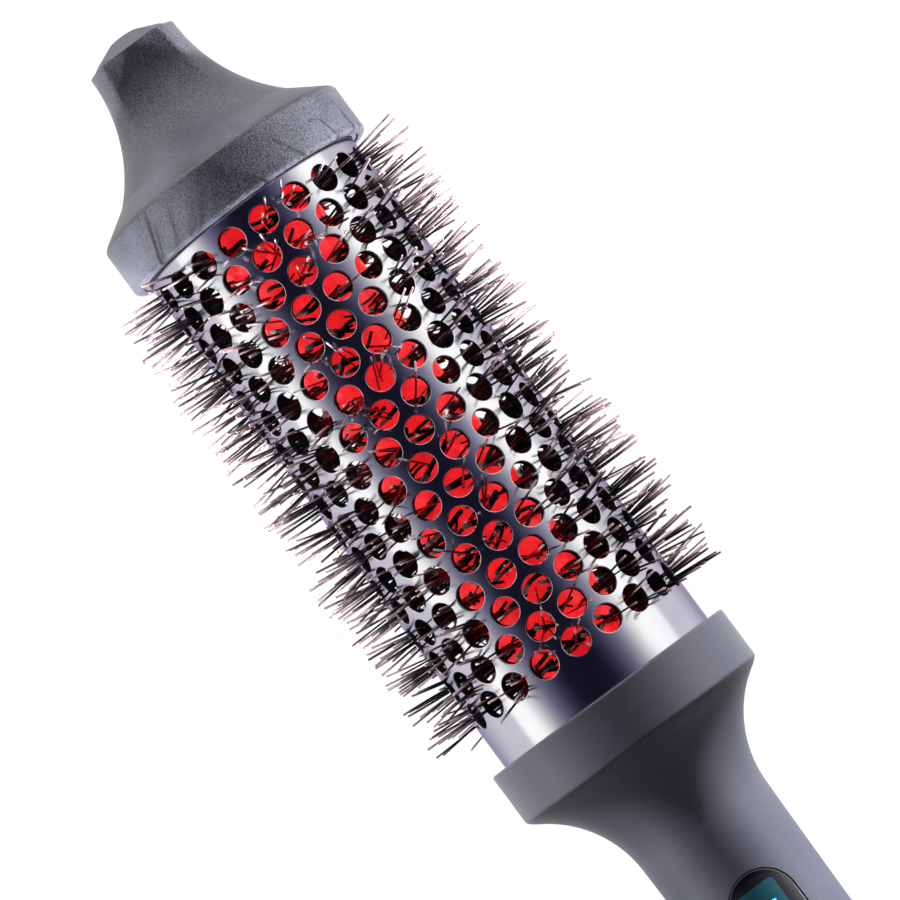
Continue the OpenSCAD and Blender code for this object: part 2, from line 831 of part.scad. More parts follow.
module contact_wipers() {
    color([0.8, 0.55, 0.3]) set_down() for (i = [0, 1]) {
        side = i * 2 - 1;
        translate([-wiper_rear, side * contact_radii[i] - contact_w / 2, -contact_w])
            cube([wiper_rear - tail_front, contact_w, 2 * contact_w]);
    }
}

module contact_rings() {
    color([0.8, 0.55, 0.3]) set_down() for (r = contact_radii) {
        tube(r + contact_w / 2, r - contact_w / 2, -gland_front, -contact_front);
    }
}

module tail_cap() {
    color([0.3, 0.3, 0.33]) set_down() difference() {
        union() {
            turned() polygon(concat(
                [[0, -tail_end]],
                edge(grip_r(shell_end) - tail_round, -tail_end + tail_round, tail_round, -90, 0),
                [[grip_r(shell_end), -shell_end], [0, -shell_end]]
            ));
            bar(tail_spigot_r, -shell_end - more, -tail_front);
        }
        bar(tail_bore_r, -tail_floor, -tail_front + more);
        bar(gland_r + run_gap, -tail_end - more, -tail_floor + more);
    }
}

module gland_retainer() {
    color([0.2, 0.2, 0.22]) set_down()
        tube(tail_bore_r - seat_gap, gland_flange_r - retainer_lip, -gland_front + air_gap, -tail_front);
}

module swivel_gland() {
    color([0.12, 0.12, 0.13]) set_down() difference() {
        union() {
            bar(gland_r, -gland_end, -gland_front - more / 2);
            bar(gland_flange_r, -gland_front - gland_flange_t, -gland_front);
        }
        bar(cord_hole_d / 2, -gland_end - more, -gland_front + more);
    }
}

module gland_nose() {
    color([0.16, 0.16, 0.17]) set_down() difference() {
        turned() polygon(concat(
            [[0, -gland_end]],
            edge(nose_r - nose_round, -gland_end + nose_round, nose_round, -90, 0),
            [[nose_r, -tail_end - air_gap], [0, -tail_end - air_gap]]
        ));
        bar(gland_r + seat_gap, -gland_end - more, -tail_end + more);
    }
}

barrel();
heater_core();
upper_spreader();
lower_spreader();
flat_heater();
temperature_sensor();
thermal_fuse();
sensor_leads();
heater_leads();
front_hub();
rear_hub();
front_hub_screws();
rear_hub_screws();
tip_cap();
lip_ring();
collar();
upper_shell();
lower_shell();
handle_screws();
control_panel();
display_window();
display_module();
control_board();
push_switches();
plus_button();
minus_button();
power_button();
plus_stem();
minus_stem();
power_stem();
power_board();
triac();
capacitor();
relay();
supply_leads();
contact_block();
contact_wipers();
tail_cap();
gland_retainer();
swivel_gland();
gland_nose();
contact_rings();
for (i = [1:ring_count]) bristle_ring(i - 1);
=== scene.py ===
import json
import math

import bmesh
import bpy
from mathutils import Matrix, Vector


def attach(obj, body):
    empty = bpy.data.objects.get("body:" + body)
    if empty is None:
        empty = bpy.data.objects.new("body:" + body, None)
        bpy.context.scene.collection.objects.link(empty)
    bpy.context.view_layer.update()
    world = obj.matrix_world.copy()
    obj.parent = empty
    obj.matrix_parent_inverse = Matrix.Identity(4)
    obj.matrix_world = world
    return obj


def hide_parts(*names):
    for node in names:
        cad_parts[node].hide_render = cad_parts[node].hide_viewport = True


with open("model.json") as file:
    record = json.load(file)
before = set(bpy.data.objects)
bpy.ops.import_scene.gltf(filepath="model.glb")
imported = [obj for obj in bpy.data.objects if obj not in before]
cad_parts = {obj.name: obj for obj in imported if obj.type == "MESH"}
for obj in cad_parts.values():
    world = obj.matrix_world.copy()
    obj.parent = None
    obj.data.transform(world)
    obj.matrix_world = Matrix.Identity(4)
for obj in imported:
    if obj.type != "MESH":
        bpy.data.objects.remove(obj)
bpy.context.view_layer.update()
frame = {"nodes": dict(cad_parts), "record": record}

mm = 0.001
axisHeight = 35.5 * mm   # the brush rests on its bristle ends, with its axis this high
middleX = 0.125          # mm from the frame's origin to the collar's front face
fullTurn = 2 * math.pi


class Field:
    # A node's output that takes plain arithmetic: each operation adds one math node to its tree.
    def __init__(self, socket):
        self.socket, self.tree = socket, socket.id_data

    def calc(self, operation, *others):
        return put(self.tree, "ShaderNodeMath", dict(enumerate((self, *others))), operation=operation)

    def __add__(self, other):
        return self.calc("ADD", other)

    def __sub__(self, other):
        return self.calc("SUBTRACT", other)

    def __rsub__(self, other):
        return put(self.tree, "ShaderNodeMath", {0: other, 1: self}, operation="SUBTRACT")

    def __mul__(self, other):
        return self.calc("MULTIPLY", other)

    def __truediv__(self, other):
        return self.calc("DIVIDE", other)


def fill(node, links):
    # Links or sets a node's inputs.
    for key, value in links.items():
        if isinstance(value, Field):
            value.tree.links.new(value.socket, node.inputs[key])
        else:
            node.inputs[key].default_value = value


def addNode(tree, kind, links=None, **settings):
    node = tree.nodes.new(kind)
    for key, value in settings.items():
        setattr(node, key, value)
    fill(node, links or {})
    return node


def put(tree, kind, links=None, output=0, **settings):
    # Adds a node and gives one of its outputs.
    return Field(addNode(tree, kind, links, **settings).outputs[output])


def outputs(node):
    return {socket.name: Field(socket) for socket in node.outputs}


def split(vector):
    return outputs(addNode(vector.tree, "ShaderNodeSeparateXYZ", {0: vector})).values()


def combine(x, y, z):
    return put(x.tree, "ShaderNodeCombineXYZ", {0: x, 1: y, 2: z})


def noise(place, scale, detail=2.0, roughness=0.5):
    return put(place.tree, "ShaderNodeTexNoise",
               {"Vector": place, "Scale": scale, "Detail": detail, "Roughness": roughness})


def ramp(level, *stops):
    # A colour ramp from pairs of position and colour.
    node = addNode(level.tree, "ShaderNodeValToRGB", {0: level})
    elements = node.color_ramp.elements
    while len(elements) < len(stops):
        elements.new(1.0)
    for element, (position, colour) in zip(elements, stops):
        element.position, element.color = position, (*colour, 1)
    return Field(node.outputs[0])


def mapTo(level, low, high):
    return put(level.tree, "ShaderNodeMapRange", {"Value": level, "To Min": low, "To Max": high})


def bump(height, strength, distance=0.0001):
    return put(height.tree, "ShaderNodeBump", {"Strength": strength, "Distance": distance, "Height": height})


def objectPlace(tree):
    return put(tree, "ShaderNodeTexCoord", output="Object")


def grainGroup():
    # Fine moulded grain: speckled tone, a roughness mask and a bumped normal.
    group = bpy.data.node_groups.new("mouldedGrain", "ShaderNodeTree")
    for label in ("Scale", "Depth", "Tone Spread"):
        group.interface.new_socket(label, in_out="INPUT", socket_type="NodeSocketFloat")
    for label, kind in (("Tone", "Float"), ("Rough", "Float"), ("Normal", "Vector")):
        group.interface.new_socket(label, in_out="OUTPUT", socket_type="NodeSocket" + kind)
    given = outputs(group.nodes.new("NodeGroupInput"))
    place = objectPlace(group)
    fine, blotch = noise(place, given["Scale"], 2.0, 0.6), noise(place, 60.0, 3.0)
    spread = (fine * 0.7 + blotch * 0.3 - 0.5) * given["Tone Spread"]
    fill(group.nodes.new("NodeGroupOutput"),
         {"Tone": spread + 0.5, "Rough": spread * 0.6 + 0.5, "Normal": bump(fine, given["Depth"])})
    return group


grain = grainGroup()


def newMaterial(name):
    material = bpy.data.materials.new(name)
    material.use_nodes = True
    tree = material.node_tree
    return material, tree, next(n for n in tree.nodes if n.type == "BSDF_PRINCIPLED")


def moulded(name, dark, light, rough, metallic=0.0, scale=3000.0, depth=0.1, spread=1.6, **sockets):
    # Grained plastic, paint or metal between two near tones.
    material, tree, shader = newMaterial(name)
    grained = addNode(tree, "ShaderNodeGroup", node_tree=grain)
    fill(grained, {"Scale": scale, "Depth": depth, "Tone Spread": spread})
    made = outputs(grained)
    fill(shader, {"Base Color": ramp(made["Tone"], (0.2, dark), (0.8, light)),
                  "Roughness": mapTo(made["Rough"], *rough), "Normal": made["Normal"], "Metallic": metallic})
    fill(shader, {label.replace("_", " "): value for label, value in sockets.items()})
    return material


def metalMaterial():
    # Dark anodised tube: turned lines round it, so faint that they only stretch its highlights.
    material, tree, shader = newMaterial("barrelMetal")
    place = objectPlace(tree)
    lines = noise(put(tree, "ShaderNodeMapping", {"Vector": place, "Scale": (9000.0, 60.0, 60.0)}), 1.0)
    tint = ramp(noise(place, 90.0), (0.0, (0.50, 0.485, 0.565)), (1.0, (0.60, 0.585, 0.665)))
    # Inside the tube the coat is dull and painted near black, as painted shade of the unlit hollow.
    _, across, height = split(place)
    up = height - axisHeight
    inside = (across * across + up * up).calc("SQRT").calc("LESS_THAN", 24.7 * mm)
    coatWithPaintedShade = put(tree, "ShaderNodeMix", {0: inside, 6: tint, 7: (0.035, 0.033, 0.038, 1)}, 2, data_type="RGBA")
    fill(shader, {"Base Color": coatWithPaintedShade, "Roughness": inside * 0.4 + mapTo(lines, 0.10, 0.20),
                  "Normal": bump(lines, 0.03), "Metallic": 1.0, "Specular Tint": (0.42, 0.38, 0.52, 1)})
    return material


def redCoreMaterial():
    # Heat-proof red coat; its glow is painted light that keeps it bright inside the shaded tube.
    material, tree, shader = newMaterial("redCoatWithPaintedGlow")
    place = objectPlace(tree)
    mottle = noise(place, 260.0, 4.0)
    tint = ramp(mottle, (0.25, (0.55, 0.004, 0.008)), (0.6, (0.88, 0.012, 0.018)))
    shine = mapTo(noise(place, 900.0, 3.0), 0.18, 0.42)
    # The emission is painted light: the core gives off no light of its own.
    fill(shader, {"Base Color": tint, "Emission Color": tint, "Emission Strength": 0.85, "Roughness": shine,
                  "Normal": bump(mottle, 0.5, 0.0002)})
    return material


def bristleMaterial():
    # Nylon filament: near black where it is deep, warm and translucent-looking at its end.
    material, tree, shader = newMaterial("nylonFilament")
    along, tone = (put(tree, "ShaderNodeAttribute", output="Fac", attribute_name=k) for k in ("along", "tone"))
    tint = ramp(along + (tone - 0.5) * 0.3, (0.62, (0.0015, 0.0015, 0.0022)), (0.80, (0.022, 0.014, 0.018)),
                (1.0, (0.33, 0.235, 0.25)))
    fill(shader, {"Base Color": tint, "Roughness": mapTo(noise(objectPlace(tree), 2500.0), 0.12, 0.26),
                  "Specular IOR Level": 0.3})
    return material


finishes = {
    # slot of the record: its material
    "barrel_metal": metalMaterial(),
    "red_core": redCoreMaterial(),
    "nylon": bristleMaterial(),
    "tip_plastic": moulded("tipPlastic", (0.012, 0.012, 0.017), (0.062, 0.062, 0.074), (0.36, 0.52),
                           depth=1.0, spread=3.0),
    "handle_plastic": moulded("handlePlastic", (0.028, 0.028, 0.037), (0.041, 0.041, 0.051), (0.36, 0.44),
                              scale=2600.0, depth=0.12),
    "lip_plastic": moulded("lipPlastic", (0.006, 0.006, 0.008), (0.012, 0.012, 0.014), (0.15, 0.25),
                           depth=0.03),
    "panel_gloss": moulded("panelGloss", (0.004, 0.004, 0.005), (0.007, 0.007, 0.008), (0.03, 0.07), depth=0.01,
                           scale=700.0, Coat_Weight=0.6, Coat_Roughness=0.02),
    "raw_aluminium": moulded("rawAluminium", (0.62, 0.63, 0.66), (0.78, 0.79, 0.80), (0.25, 0.4), 1.0),
    "heater_ceramic": moulded("firedCeramic", (0.72, 0.71, 0.66), (0.86, 0.85, 0.80), (0.5, 0.7)),
    "sensor_glass": moulded("sensorGlass", (0.45, 0.22, 0.04), (0.62, 0.34, 0.08), (0.05, 0.15), depth=0.02),
    "steel": moulded("zincSteel", (0.42, 0.42, 0.44), (0.58, 0.58, 0.60), (0.22, 0.36), 1.0, depth=0.06),
    "lead_wire": moulded("leadSleeve", (0.62, 0.58, 0.50), (0.76, 0.72, 0.64), (0.5, 0.65)),
    "heat_plastic": moulded("glassFilledPlastic", (0.020, 0.020, 0.022), (0.045, 0.045, 0.048), (0.5, 0.7),
                            depth=0.3),
    "window_glass": moulded("windowTint", (0.006, 0.030, 0.038), (0.009, 0.038, 0.046), (0.04, 0.08),
                            depth=0.01, Coat_Weight=0.5, Coat_Roughness=0.02),
    "display_glow": moulded("displayGlow", (0.02, 0.12, 0.15), (0.03, 0.15, 0.18), (0.2, 0.3), depth=0.02),
    "board": moulded("solderMask", (0.006, 0.07, 0.03), (0.015, 0.12, 0.05), (0.25, 0.45), depth=0.08),
    "switch_plastic": moulded("switchPlastic", (0.010, 0.010, 0.011), (0.022, 0.022, 0.024), (0.4, 0.55)),
    "button_plastic": moulded("buttonPlastic", (0.050, 0.050, 0.060), (0.070, 0.070, 0.082), (0.34, 0.42)),
    "stem_plastic": moulded("stemPlastic", (0.5, 0.03, 0.02), (0.62, 0.05, 0.03), (0.3, 0.4)),
    "capacitor_film": moulded("dippedFilm", (0.22, 0.09, 0.01), (0.34, 0.15, 0.02), (0.1, 0.2), depth=0.03),
    "relay_case": moulded("relayCase", (0.01, 0.05, 0.16), (0.02, 0.08, 0.22), (0.2, 0.3), depth=0.05),
    "block_plastic": moulded("blockPlastic", (0.62, 0.60, 0.52), (0.74, 0.72, 0.64), (0.4, 0.5)),
    "contact_metal": moulded("contactBrass", (0.55, 0.38, 0.14), (0.72, 0.52, 0.22), (0.15, 0.3), 1.0,
                             depth=0.04),
    "gland_plastic": moulded("glandPlastic", (0.010, 0.010, 0.011), (0.022, 0.022, 0.025), (0.4, 0.55)),
}


def paint(piece, material):
    piece.data.materials.clear()
    piece.data.materials.append(material)


for entry in frame["record"]["subparts"]:
    paint(frame["nodes"][entry["node"]], finishes[entry["material_slot"]])
print("materials made")


def newObject(name, data):
    made = bpy.data.objects.new(name, data)
    bpy.context.scene.collection.objects.link(made)
    return made


def addPiece(name, mesh, slot, nodes, angle, body="handle", finish=None):
    # Makes a piece in the place of its nodes; edges sharper than the angle stay crisp.
    mesh.name = name
    piece = newObject(name, mesh)
    paint(piece, finish or finishes[slot])
    piece.data.shade_smooth()
    piece.data.set_sharp_from_angle(angle=math.radians(angle))
    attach(piece, body)
    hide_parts(*nodes)


def evaluatedMesh(piece):
    return bpy.data.meshes.new_from_object(piece.evaluated_get(bpy.context.evaluated_depsgraph_get()))


def even(start, end, parts):
    return [start + (end - start) * k / parts for k in range(parts + 1)]


def between(a, b, share):
    return a[0] + (b[0] - a[0]) * share, a[1] + (b[1] - a[1]) * share


def onCircle(radius, a):
    return radius * math.cos(a), radius * math.sin(a)


def roundCorners(points, steps=6):
    # Points are (s, r) or (s, r, radius): a corner with a radius becomes an arc.
    made = []
    for i, point in enumerate(points):
        if len(point) < 3 or i in (0, len(points) - 1):
            made.append(Vector(point[:2]))
            continue
        here, before, after = Vector(point[:2]), Vector(points[i - 1][:2]), Vector(points[i + 1][:2])
        inward, outward = (before - here).normalized(), (after - here).normalized()
        half = inward.angle(outward) / 2
        reach = min(point[2] / math.tan(half), (before - here).length * 0.49, (after - here).length * 0.49)
        radius = reach * math.tan(half)
        centre = here + (inward + outward).normalized() * radius / math.sin(half)
        start, end = here + inward * reach - centre, here + outward * reach - centre
        turn = start.angle_signed(end)
        made += [centre + Matrix.Rotation(-turn * step / steps, 2) @ start for step in range(steps + 1)]
    return [(p.x, p.y) for p in made]


def finely(points, longest):
    # Divides long stretches of an outline, so that faces stay even.
    made = [points[0]]
    for a, b in zip(points, points[1:]):
        parts = max(1, math.ceil(math.dist(a, b) / longest))
        made += [between(a, b, k / parts) for k in range(1, parts + 1)]
    return made


def placed(s, y, z):
    # From mm, with s counted from the collar's face toward the tip and z from the axis, to the frame.
    return Vector(((s - middleX) * mm, y * mm, z * mm + axisHeight))


def meshFrom(maker):
    # Turns the faces outward and keeps them as a mesh.
    bmesh.ops.recalc_face_normals(maker, faces=maker.faces)
    mesh = bpy.data.meshes.new("mesh")
    maker.to_mesh(mesh)
    maker.free()
    return mesh


def skinMesh(solids, ends="capped"):
    # Each solid is a list of closed sections of points; a section of one point is a pole.
    # Its ends are capped, open, or joined to each other.
    maker = bmesh.new()
    for sections in solids:
        rows = [[maker.verts.new(p) for p in section] for section in sections]
        count = max(len(row) for row in rows)
        for low, high in zip(rows, rows[1:] + (rows[:1] if ends == "joined" else [])):
            for k in range(count):
                n = (k + 1) % count
                corners = [low[k % len(low)], low[n % len(low)], high[n % len(high)], high[k % len(high)]]
                corners = list(dict.fromkeys(corners))
                if len(corners) > 2:
                    maker.faces.new(corners)
        if ends == "capped":
            maker.faces.new(rows[0])
            maker.faces.new(rows[-1])
    return meshFrom(maker)


def lathe(outline, segments=128, ends="joined", change=None):
    # Turns an outline of (s, r) points about the brush's axis. Joined ends make it a ring's section.
    turns = even(0.0, fullTurn, segments)[:-1]
    sections = []
    for s, r in outline:
        points = [(s, 0, 0)] if r < 1e-6 else [(s, r * math.sin(a), r * math.cos(a)) for a in turns]
        sections.append([placed(*(change(*p) if change else p)) for p in points])
    return skinMesh([sections], ends)


def newTree(name, inputs):
    # A geometry tree that makes its own geometry from named inputs.
    tree = bpy.data.node_groups.new(name, "GeometryNodeTree")
    tree.interface.new_socket("Geometry", in_out="OUTPUT", socket_type="NodeSocketGeometry")
    for label, value in inputs.items():
        kind = ("NodeSocketMaterial" if isinstance(value, bpy.types.Material)
                else "NodeSocketInt" if isinstance(value, int) else "NodeSocketFloat")
        tree.interface.new_socket(label, in_out="INPUT", socket_type=kind)
    return tree, outputs(tree.nodes.new("NodeGroupInput"))


def closeTree(geometry, material):
    real = put(geometry.tree, "GeometryNodeRealizeInstances", {0: geometry})
    painted = put(geometry.tree, "GeometryNodeSetMaterial", {"Geometry": real, "Material": material})
    fill(geometry.tree.nodes.new("NodeGroupOutput"), {0: painted})


def meshFromTree(tree, inputs):
    # Runs the tree on an empty mesh and keeps its result as a plain mesh.
    carrier = newObject("carrier", bpy.data.meshes.new("carrier"))
    modifier = carrier.modifiers.new("build", "NODES")
    modifier.node_group = tree
    for item in tree.interface.items_tree:
        if item.in_out == "INPUT":
            modifier[item.identifier] = inputs[item.name]
    mesh = evaluatedMesh(carrier)
    bpy.data.objects.remove(carrier)
    return mesh


def position(tree):
    return split(put(tree, "GeometryNodeInputPosition"))


def moveTo(geometry, x, y, z):
    return put(geometry.tree, "GeometryNodeSetPosition", {"Geometry": geometry, "Position": combine(x, y, z)})


def instanced(points, shape):
    return put(points.tree, "GeometryNodeInstanceOnPoints", {"Points": points, "Instance": shape})


def choose(index, values):
    # Takes its value from a short list by a whole-number index.
    node = addNode(index.tree, "GeometryNodeIndexSwitch", data_type="FLOAT")
    while len(node.index_switch_items) < len(values):
        node.index_switch_items.new()
    fill(node, {"Index": index, **{k: value for k, value in enumerate(values, 1)}})
    return Field(node.outputs[0])


def unitGrid(tree, across, along):
    # A unit grid with its two running shares, 0 to 1.
    mesh = put(tree, "GeometryNodeMeshGrid",
               {"Size X": 1.0, "Size Y": 1.0, "Vertices X": across, "Vertices Y": along})
    x, y, _ = position(tree)
    return mesh, x + 0.5, y + 0.5


def wave(turn, shift):
    # A triangle wave of period 4 that is 1 at 0 and -1 at 2.
    return ((turn + shift).calc("MODULO", 4.0) - 2.0).calc("ABSOLUTE") - 1.0


barrel = {
    # mm, counts and an angle; each becomes an input of the tree
    "radius": 25.0, "wall": 1.5, "rear": -6.0, "front": 125.0,
    "holeRadius": 2.95, "edgeRound": 0.14, "firstHole": 11.5, "rowPitch": 6.4,
    "rows": 17, "perRow": 20, "holeSides": 24, "endRound": 0.2, "seamGap": 0.01,
    "turn": math.radians(-1.4),   # the rows stand turned from the display
}
holeRings = 8   # rings of points from the inner skin, through the rounded rim, to the outer skin


def barrelTree(inputs):
    # The flat pattern is laid out as (along, arc, radius) and rolled up at the end.
    tree, given = newTree("perforatedBarrel", inputs)
    outer, pitch, perRow, firstRow = (given[k] for k in ("radius", "rowPitch", "perRow", "firstHole"))
    hole, edge, rim, sides = (given[k] for k in ("holeRadius", "edgeRound", "endRound", "holeSides"))
    inner = outer - given["wall"]
    halfArc = outer * math.pi / perRow
    arcStep = halfArc * 2.0

    # One hole in its diamond of wall.
    cell, around, ringShare = unitGrid(tree, sides + 1.0, holeRings)
    ring = (ringShare * (holeRings - 1.0)).calc("ROUND")
    bends = [math.radians(45 * k) for k in range(3)]
    outside = edge * 1.45 + hole
    radii = [hole, hole, *(edge * (1 - math.cos(bend)) + hole for bend in bends), outside, outside, outside]
    heights = [inner, inner, *(edge * (math.sin(bend) - 1) + outer for bend in bends), outer, outer, outer]
    quarter = around * 4.0
    diamonds = [wave(quarter, 0.0) * pitch, wave(quarter, 3.0) * halfArc]
    # Each ring's points stand halfway between even steps and the directions of the diamond's points.
    aimed = (diamonds[1].calc("ARCTAN2", diamonds[0]) + 0.0001).calc("FLOORED_MODULO", fullTurn)
    aimed = aimed + around.calc("GREATER_THAN", 0.999) * fullTurn
    angle = (around * fullTurn + aimed) * 0.5
    size = choose(ring, radii)
    isDiamond = ring.calc("LESS_THAN", 0.5) + ring.calc("GREATER_THAN", holeRings - 1.5)
    x, y = ((diamond - circle) * isDiamond + circle for diamond, circle in
            zip(diamonds, (angle.calc("COSINE") * size, angle.calc("SINE") * size)))
    cell = moveTo(cell, x, y, choose(ring, heights))

    index = put(tree, "GeometryNodeInputIndex")
    row = ((index + 0.01) / perRow).calc("FLOOR")
    place = index - row * perRow + row.calc("MODULO", 2.0) * 0.5
    spots = put(tree, "GeometryNodePoints", {"Count": given["rows"] * perRow})
    parts = [instanced(moveTo(spots, row * pitch + firstRow, place * arcStep, 0.0), cell)]

    beyond = (given["rows"] - 1.0) * pitch + firstRow + pitch
    for side, start, stop in ((1, firstRow - pitch, given["rear"]), (-1, beyond, given["front"])):
        # Triangles that fill the zigzag at this end of the pattern, outer and inner skin.
        for height in (outer, inner):
            wedge, across, deep = unitGrid(tree, sides / 2.0 + 1.0, 3)
            across = across * 2.0 - 1.0
            along = (1.0 - across.calc("ABSOLUTE")) * deep * (pitch * side)
            wedge = moveTo(wedge, along, across * halfArc, height)
            ends = put(tree, "GeometryNodePoints", {"Count": perRow})
            step = put(tree, "GeometryNodeInputIndex") + 0.5
            parts.append(instanced(moveTo(ends, start, step * arcStep, 0.0), wedge))
        # The plain end of the tube, round its rim and back inside.
        near, halfway = stop + rim * side, (stop - start) * 0.5 + start
        tube, across, deep = unitGrid(tree, perRow * sides / 2.0 + 1.0, 8)
        which = (deep * 7.0).calc("ROUND")
        along = choose(which, [start, halfway, near, stop, stop, near, halfway, start])
        radius = choose(which, [outer, outer, outer, outer - rim, inner + rim, inner, inner, inner])
        parts.append(moveTo(tube, along, across * (outer * fullTurn), radius))

    joined = addNode(tree, "GeometryNodeJoinGeometry")
    for part in parts:
        fill(joined, {0: part})
    flat = put(tree, "GeometryNodeRealizeInstances", {0: Field(joined.outputs[0])})
    along, arc, radius = position(tree)
    turned = arc / outer + given["turn"]
    rolled = moveTo(flat, (along - middleX) * mm, radius * turned.calc("SINE") * mm,
                    radius * turned.calc("COSINE") * mm + axisHeight)
    whole = put(tree, "GeometryNodeMergeByDistance", {"Geometry": rolled, "Distance": given["seamGap"] * mm})
    closeTree(whole, given["material"])
    return tree


def fixNormals(mesh):
    # Turns the faces outward and counts the edges that don't join two faces.
    maker = bmesh.new()
    maker.from_mesh(mesh)
    bmesh.ops.recalc_face_normals(maker, faces=maker.faces)
    loose = sum(1 for e in maker.edges if not e.is_manifold)
    maker.to_mesh(mesh)
    maker.free()
    return loose


barrelInputs = {**barrel, "material": finishes["barrel_metal"]}
barrelMesh = meshFromTree(barrelTree(barrelInputs), barrelInputs)
print("barrel made:", len(barrelMesh.polygons), "faces,", fixNormals(barrelMesh), "open edges")
addPiece("barrel_tube", barrelMesh, "barrel_metal", ["barrel"], 60)

tufts = {
    "strands": 5, "thickness": (0.19, 0.27), "tipReach": 36.0, "short": 8.0,
    "rootLow": (-1.3, -1.3, 12.0), "rootHigh": (1.3, 1.3, 12.6),
    "tipLow": (-5.2, -4.4, 34.5), "tipHigh": (5.2, 4.4, 35.95), "lean": (3.4, 2.8), "bow": 0.3,
    "holeShare": 0.56, "holeRoom": 2.5,
    "thinTop": (0.86, 0.45),   # above this cosine, the holes that face up keep only this share of strands
}
rootStrokes = {
    "strands": 3, "thickness": (0.2, 0.62), "tipReach": 17.0, "short": 0.0,
    "rootLow": (-3.0, -4.4, 12.2), "rootHigh": (3.0, -1.0, 14.4),
    "tipLow": (-3.0, 1.0, 12.2), "tipHigh": (3.0, 4.4, 15.5), "lean": (0.6, 0.0), "bow": 0.9,
    "holeShare": 0.0, "holeRoom": 2.5,
    "thinTop": (0.86, 0.6),
}
floorGap = 0.05 * mm   # the strands keep this far above the plane that the brush rests on


def vectorMath(operation, first, second=None, output=0):
    links = {0: first}
    if second is not None:
        links["Scale" if operation == "SCALE" else 1] = second
    return put(first.tree, "ShaderNodeVectorMath", links, output, operation=operation)


def randomNumber(tree, low, high, seed):
    return put(tree, "FunctionNodeRandomValue", {2: low, 3: high, "Seed": seed}, 1, data_type="FLOAT")


def randomVector(tree, low, high, seed, **identity):
    # The mean of two draws, so that strands gather at the middle of their tuft.
    links = {"Min": low, "Max": high, **identity}
    pair = [put(tree, "FunctionNodeRandomValue", {**links, "Seed": seed + k}, data_type="FLOAT_VECTOR")
            for k in range(2)]
    return vectorMath("SCALE", vectorMath("ADD", *pair), 0.5)


def keep(geometry, name, value, kind="FLOAT"):
    return put(geometry.tree, "GeometryNodeStoreNamedAttribute",
               {"Geometry": geometry, "Name": name, "Value": value}, data_type=kind, domain="POINT")


def named(tree, name, kind):
    return put(tree, "GeometryNodeInputNamedAttribute", {"Name": name}, data_type=kind)


def strandTree(name, style, seed, inputs):
    tree, given = newTree(name, inputs)
    perHole, perRow = given["strands"], given["perRow"]
    points = put(tree, "GeometryNodePoints", {"Count": perHole * given["rows"] * perRow})
    hole = ((put(tree, "GeometryNodeInputIndex") + 0.01) / perHole).calc("FLOOR")
    row = ((hole + 0.01) / perRow).calc("FLOOR")
    place = hole - row * perRow + row.calc("MODULO", 2.0) * 0.5
    turn = place / perRow * fullTurn + given["turn"]
    spot = combine(row * given["rowPitch"] + given["firstHole"], turn, 0.0)
    root = randomVector(tree, style["rootLow"], style["rootHigh"], seed)
    leanX, leanY = style["lean"]
    lean = randomVector(tree, (-leanX, -leanY, 0), (leanX, leanY, 0), seed + 30, ID=hole.calc("ROUND"))
    tip = vectorMath("ADD", randomVector(tree, style["tipLow"], style["tipHigh"], seed + 10), lean)
    cutOff = randomNumber(tree, 0.0, 1.0, seed + 40).calc("POWER", 2.5) * given["short"]
    # Where a strand crosses the barrel's wall, at this share of its length, it keeps clear of the hole's rim.
    share, gathered = style["holeShare"], 1.0
    if share:
        crossing = vectorMath("ADD", vectorMath("SCALE", root, 1 - share), vectorMath("SCALE", tip, share))
        away = vectorMath("LENGTH", vectorMath("MULTIPLY", crossing, (1.0, 1.0, 0.0)), output="Value")
        gathered = (given["holeRoom"] / away).calc("MINIMUM", 1.0)
    rootX, rootY, rootZ = split(root)
    tipX, tipY, tipZ = split(tip)
    bow = randomVector(tree, (-1, -1, -1), (1, 1, 1), seed + 20)
    vectors = {"spot": spot, "root": combine(rootX * gathered, rootY * gathered, rootZ),
               "tip": combine(tipX * gathered, tipY * gathered, tipZ - cutOff), "bow": bow}
    for label, value in vectors.items():
        points = keep(points, label, value, "FLOAT_VECTOR")
    points = keep(points, "tone", randomNumber(tree, 0.0, 1.0, seed + 50))
    points = keep(points, "thick", randomNumber(tree, *style["thickness"], seed + 60))
    upward, kept = style["thinTop"]
    drawn = randomNumber(tree, 0.0, 1.0, seed + 70).calc("GREATER_THAN", kept)
    surplus = turn.calc("COSINE").calc("GREATER_THAN", upward) * drawn
    points = put(tree, "GeometryNodeDeleteGeometry", {"Geometry": points, "Selection": surplus}, domain="POINT")
    strand = put(tree, "GeometryNodeMeshCylinder",
                 {"Vertices": 5, "Side Segments": 4, "Radius": 1.0, "Depth": 1.0}, fill_type="NGON")
    grown = put(tree, "GeometryNodeRealizeInstances", {0: instanced(points, strand)})

    # Each strand is bent from its root to its tip and set in its place round the barrel.
    sideStep, roundStep, length = position(tree)
    share = length + 0.5
    grown = keep(grown, "along", share)
    hump = share * (1.0 - share) * 4.0
    root, tip, bow, (spotX, spotTurn, _) = (list(split(named(tree, k, "FLOAT_VECTOR")))
                                            for k in ("root", "tip", "bow", "spot"))
    alongPath, roundPath, outPath = ((end - start) * share + start for start, end in zip(root, tip))
    thick = named(tree, "thick", "FLOAT")
    sideways = sideStep * thick + (alongPath + bow[0] * given["bow"] * hump)
    circling = roundStep * thick + (roundPath + bow[1] * given["bow"] * hump)
    # No strand reaches past the round envelope, nor below the plane that the brush rests on.
    span = (outPath * outPath + circling * circling).calc("SQRT")
    short = (given["tipReach"] / span).calc("MINIMUM", 1.0)
    height, circling = outPath * short, circling * short
    sine, cosine = spotTurn.calc("SINE"), spotTurn.calc("COSINE")
    z = ((height * cosine - circling * sine) * mm + axisHeight).calc("MAXIMUM", floorGap)
    grown = moveTo(grown, (spotX + sideways - middleX) * mm, (height * sine + circling * cosine) * mm, z)
    closeTree(grown, given["material"])
    return tree


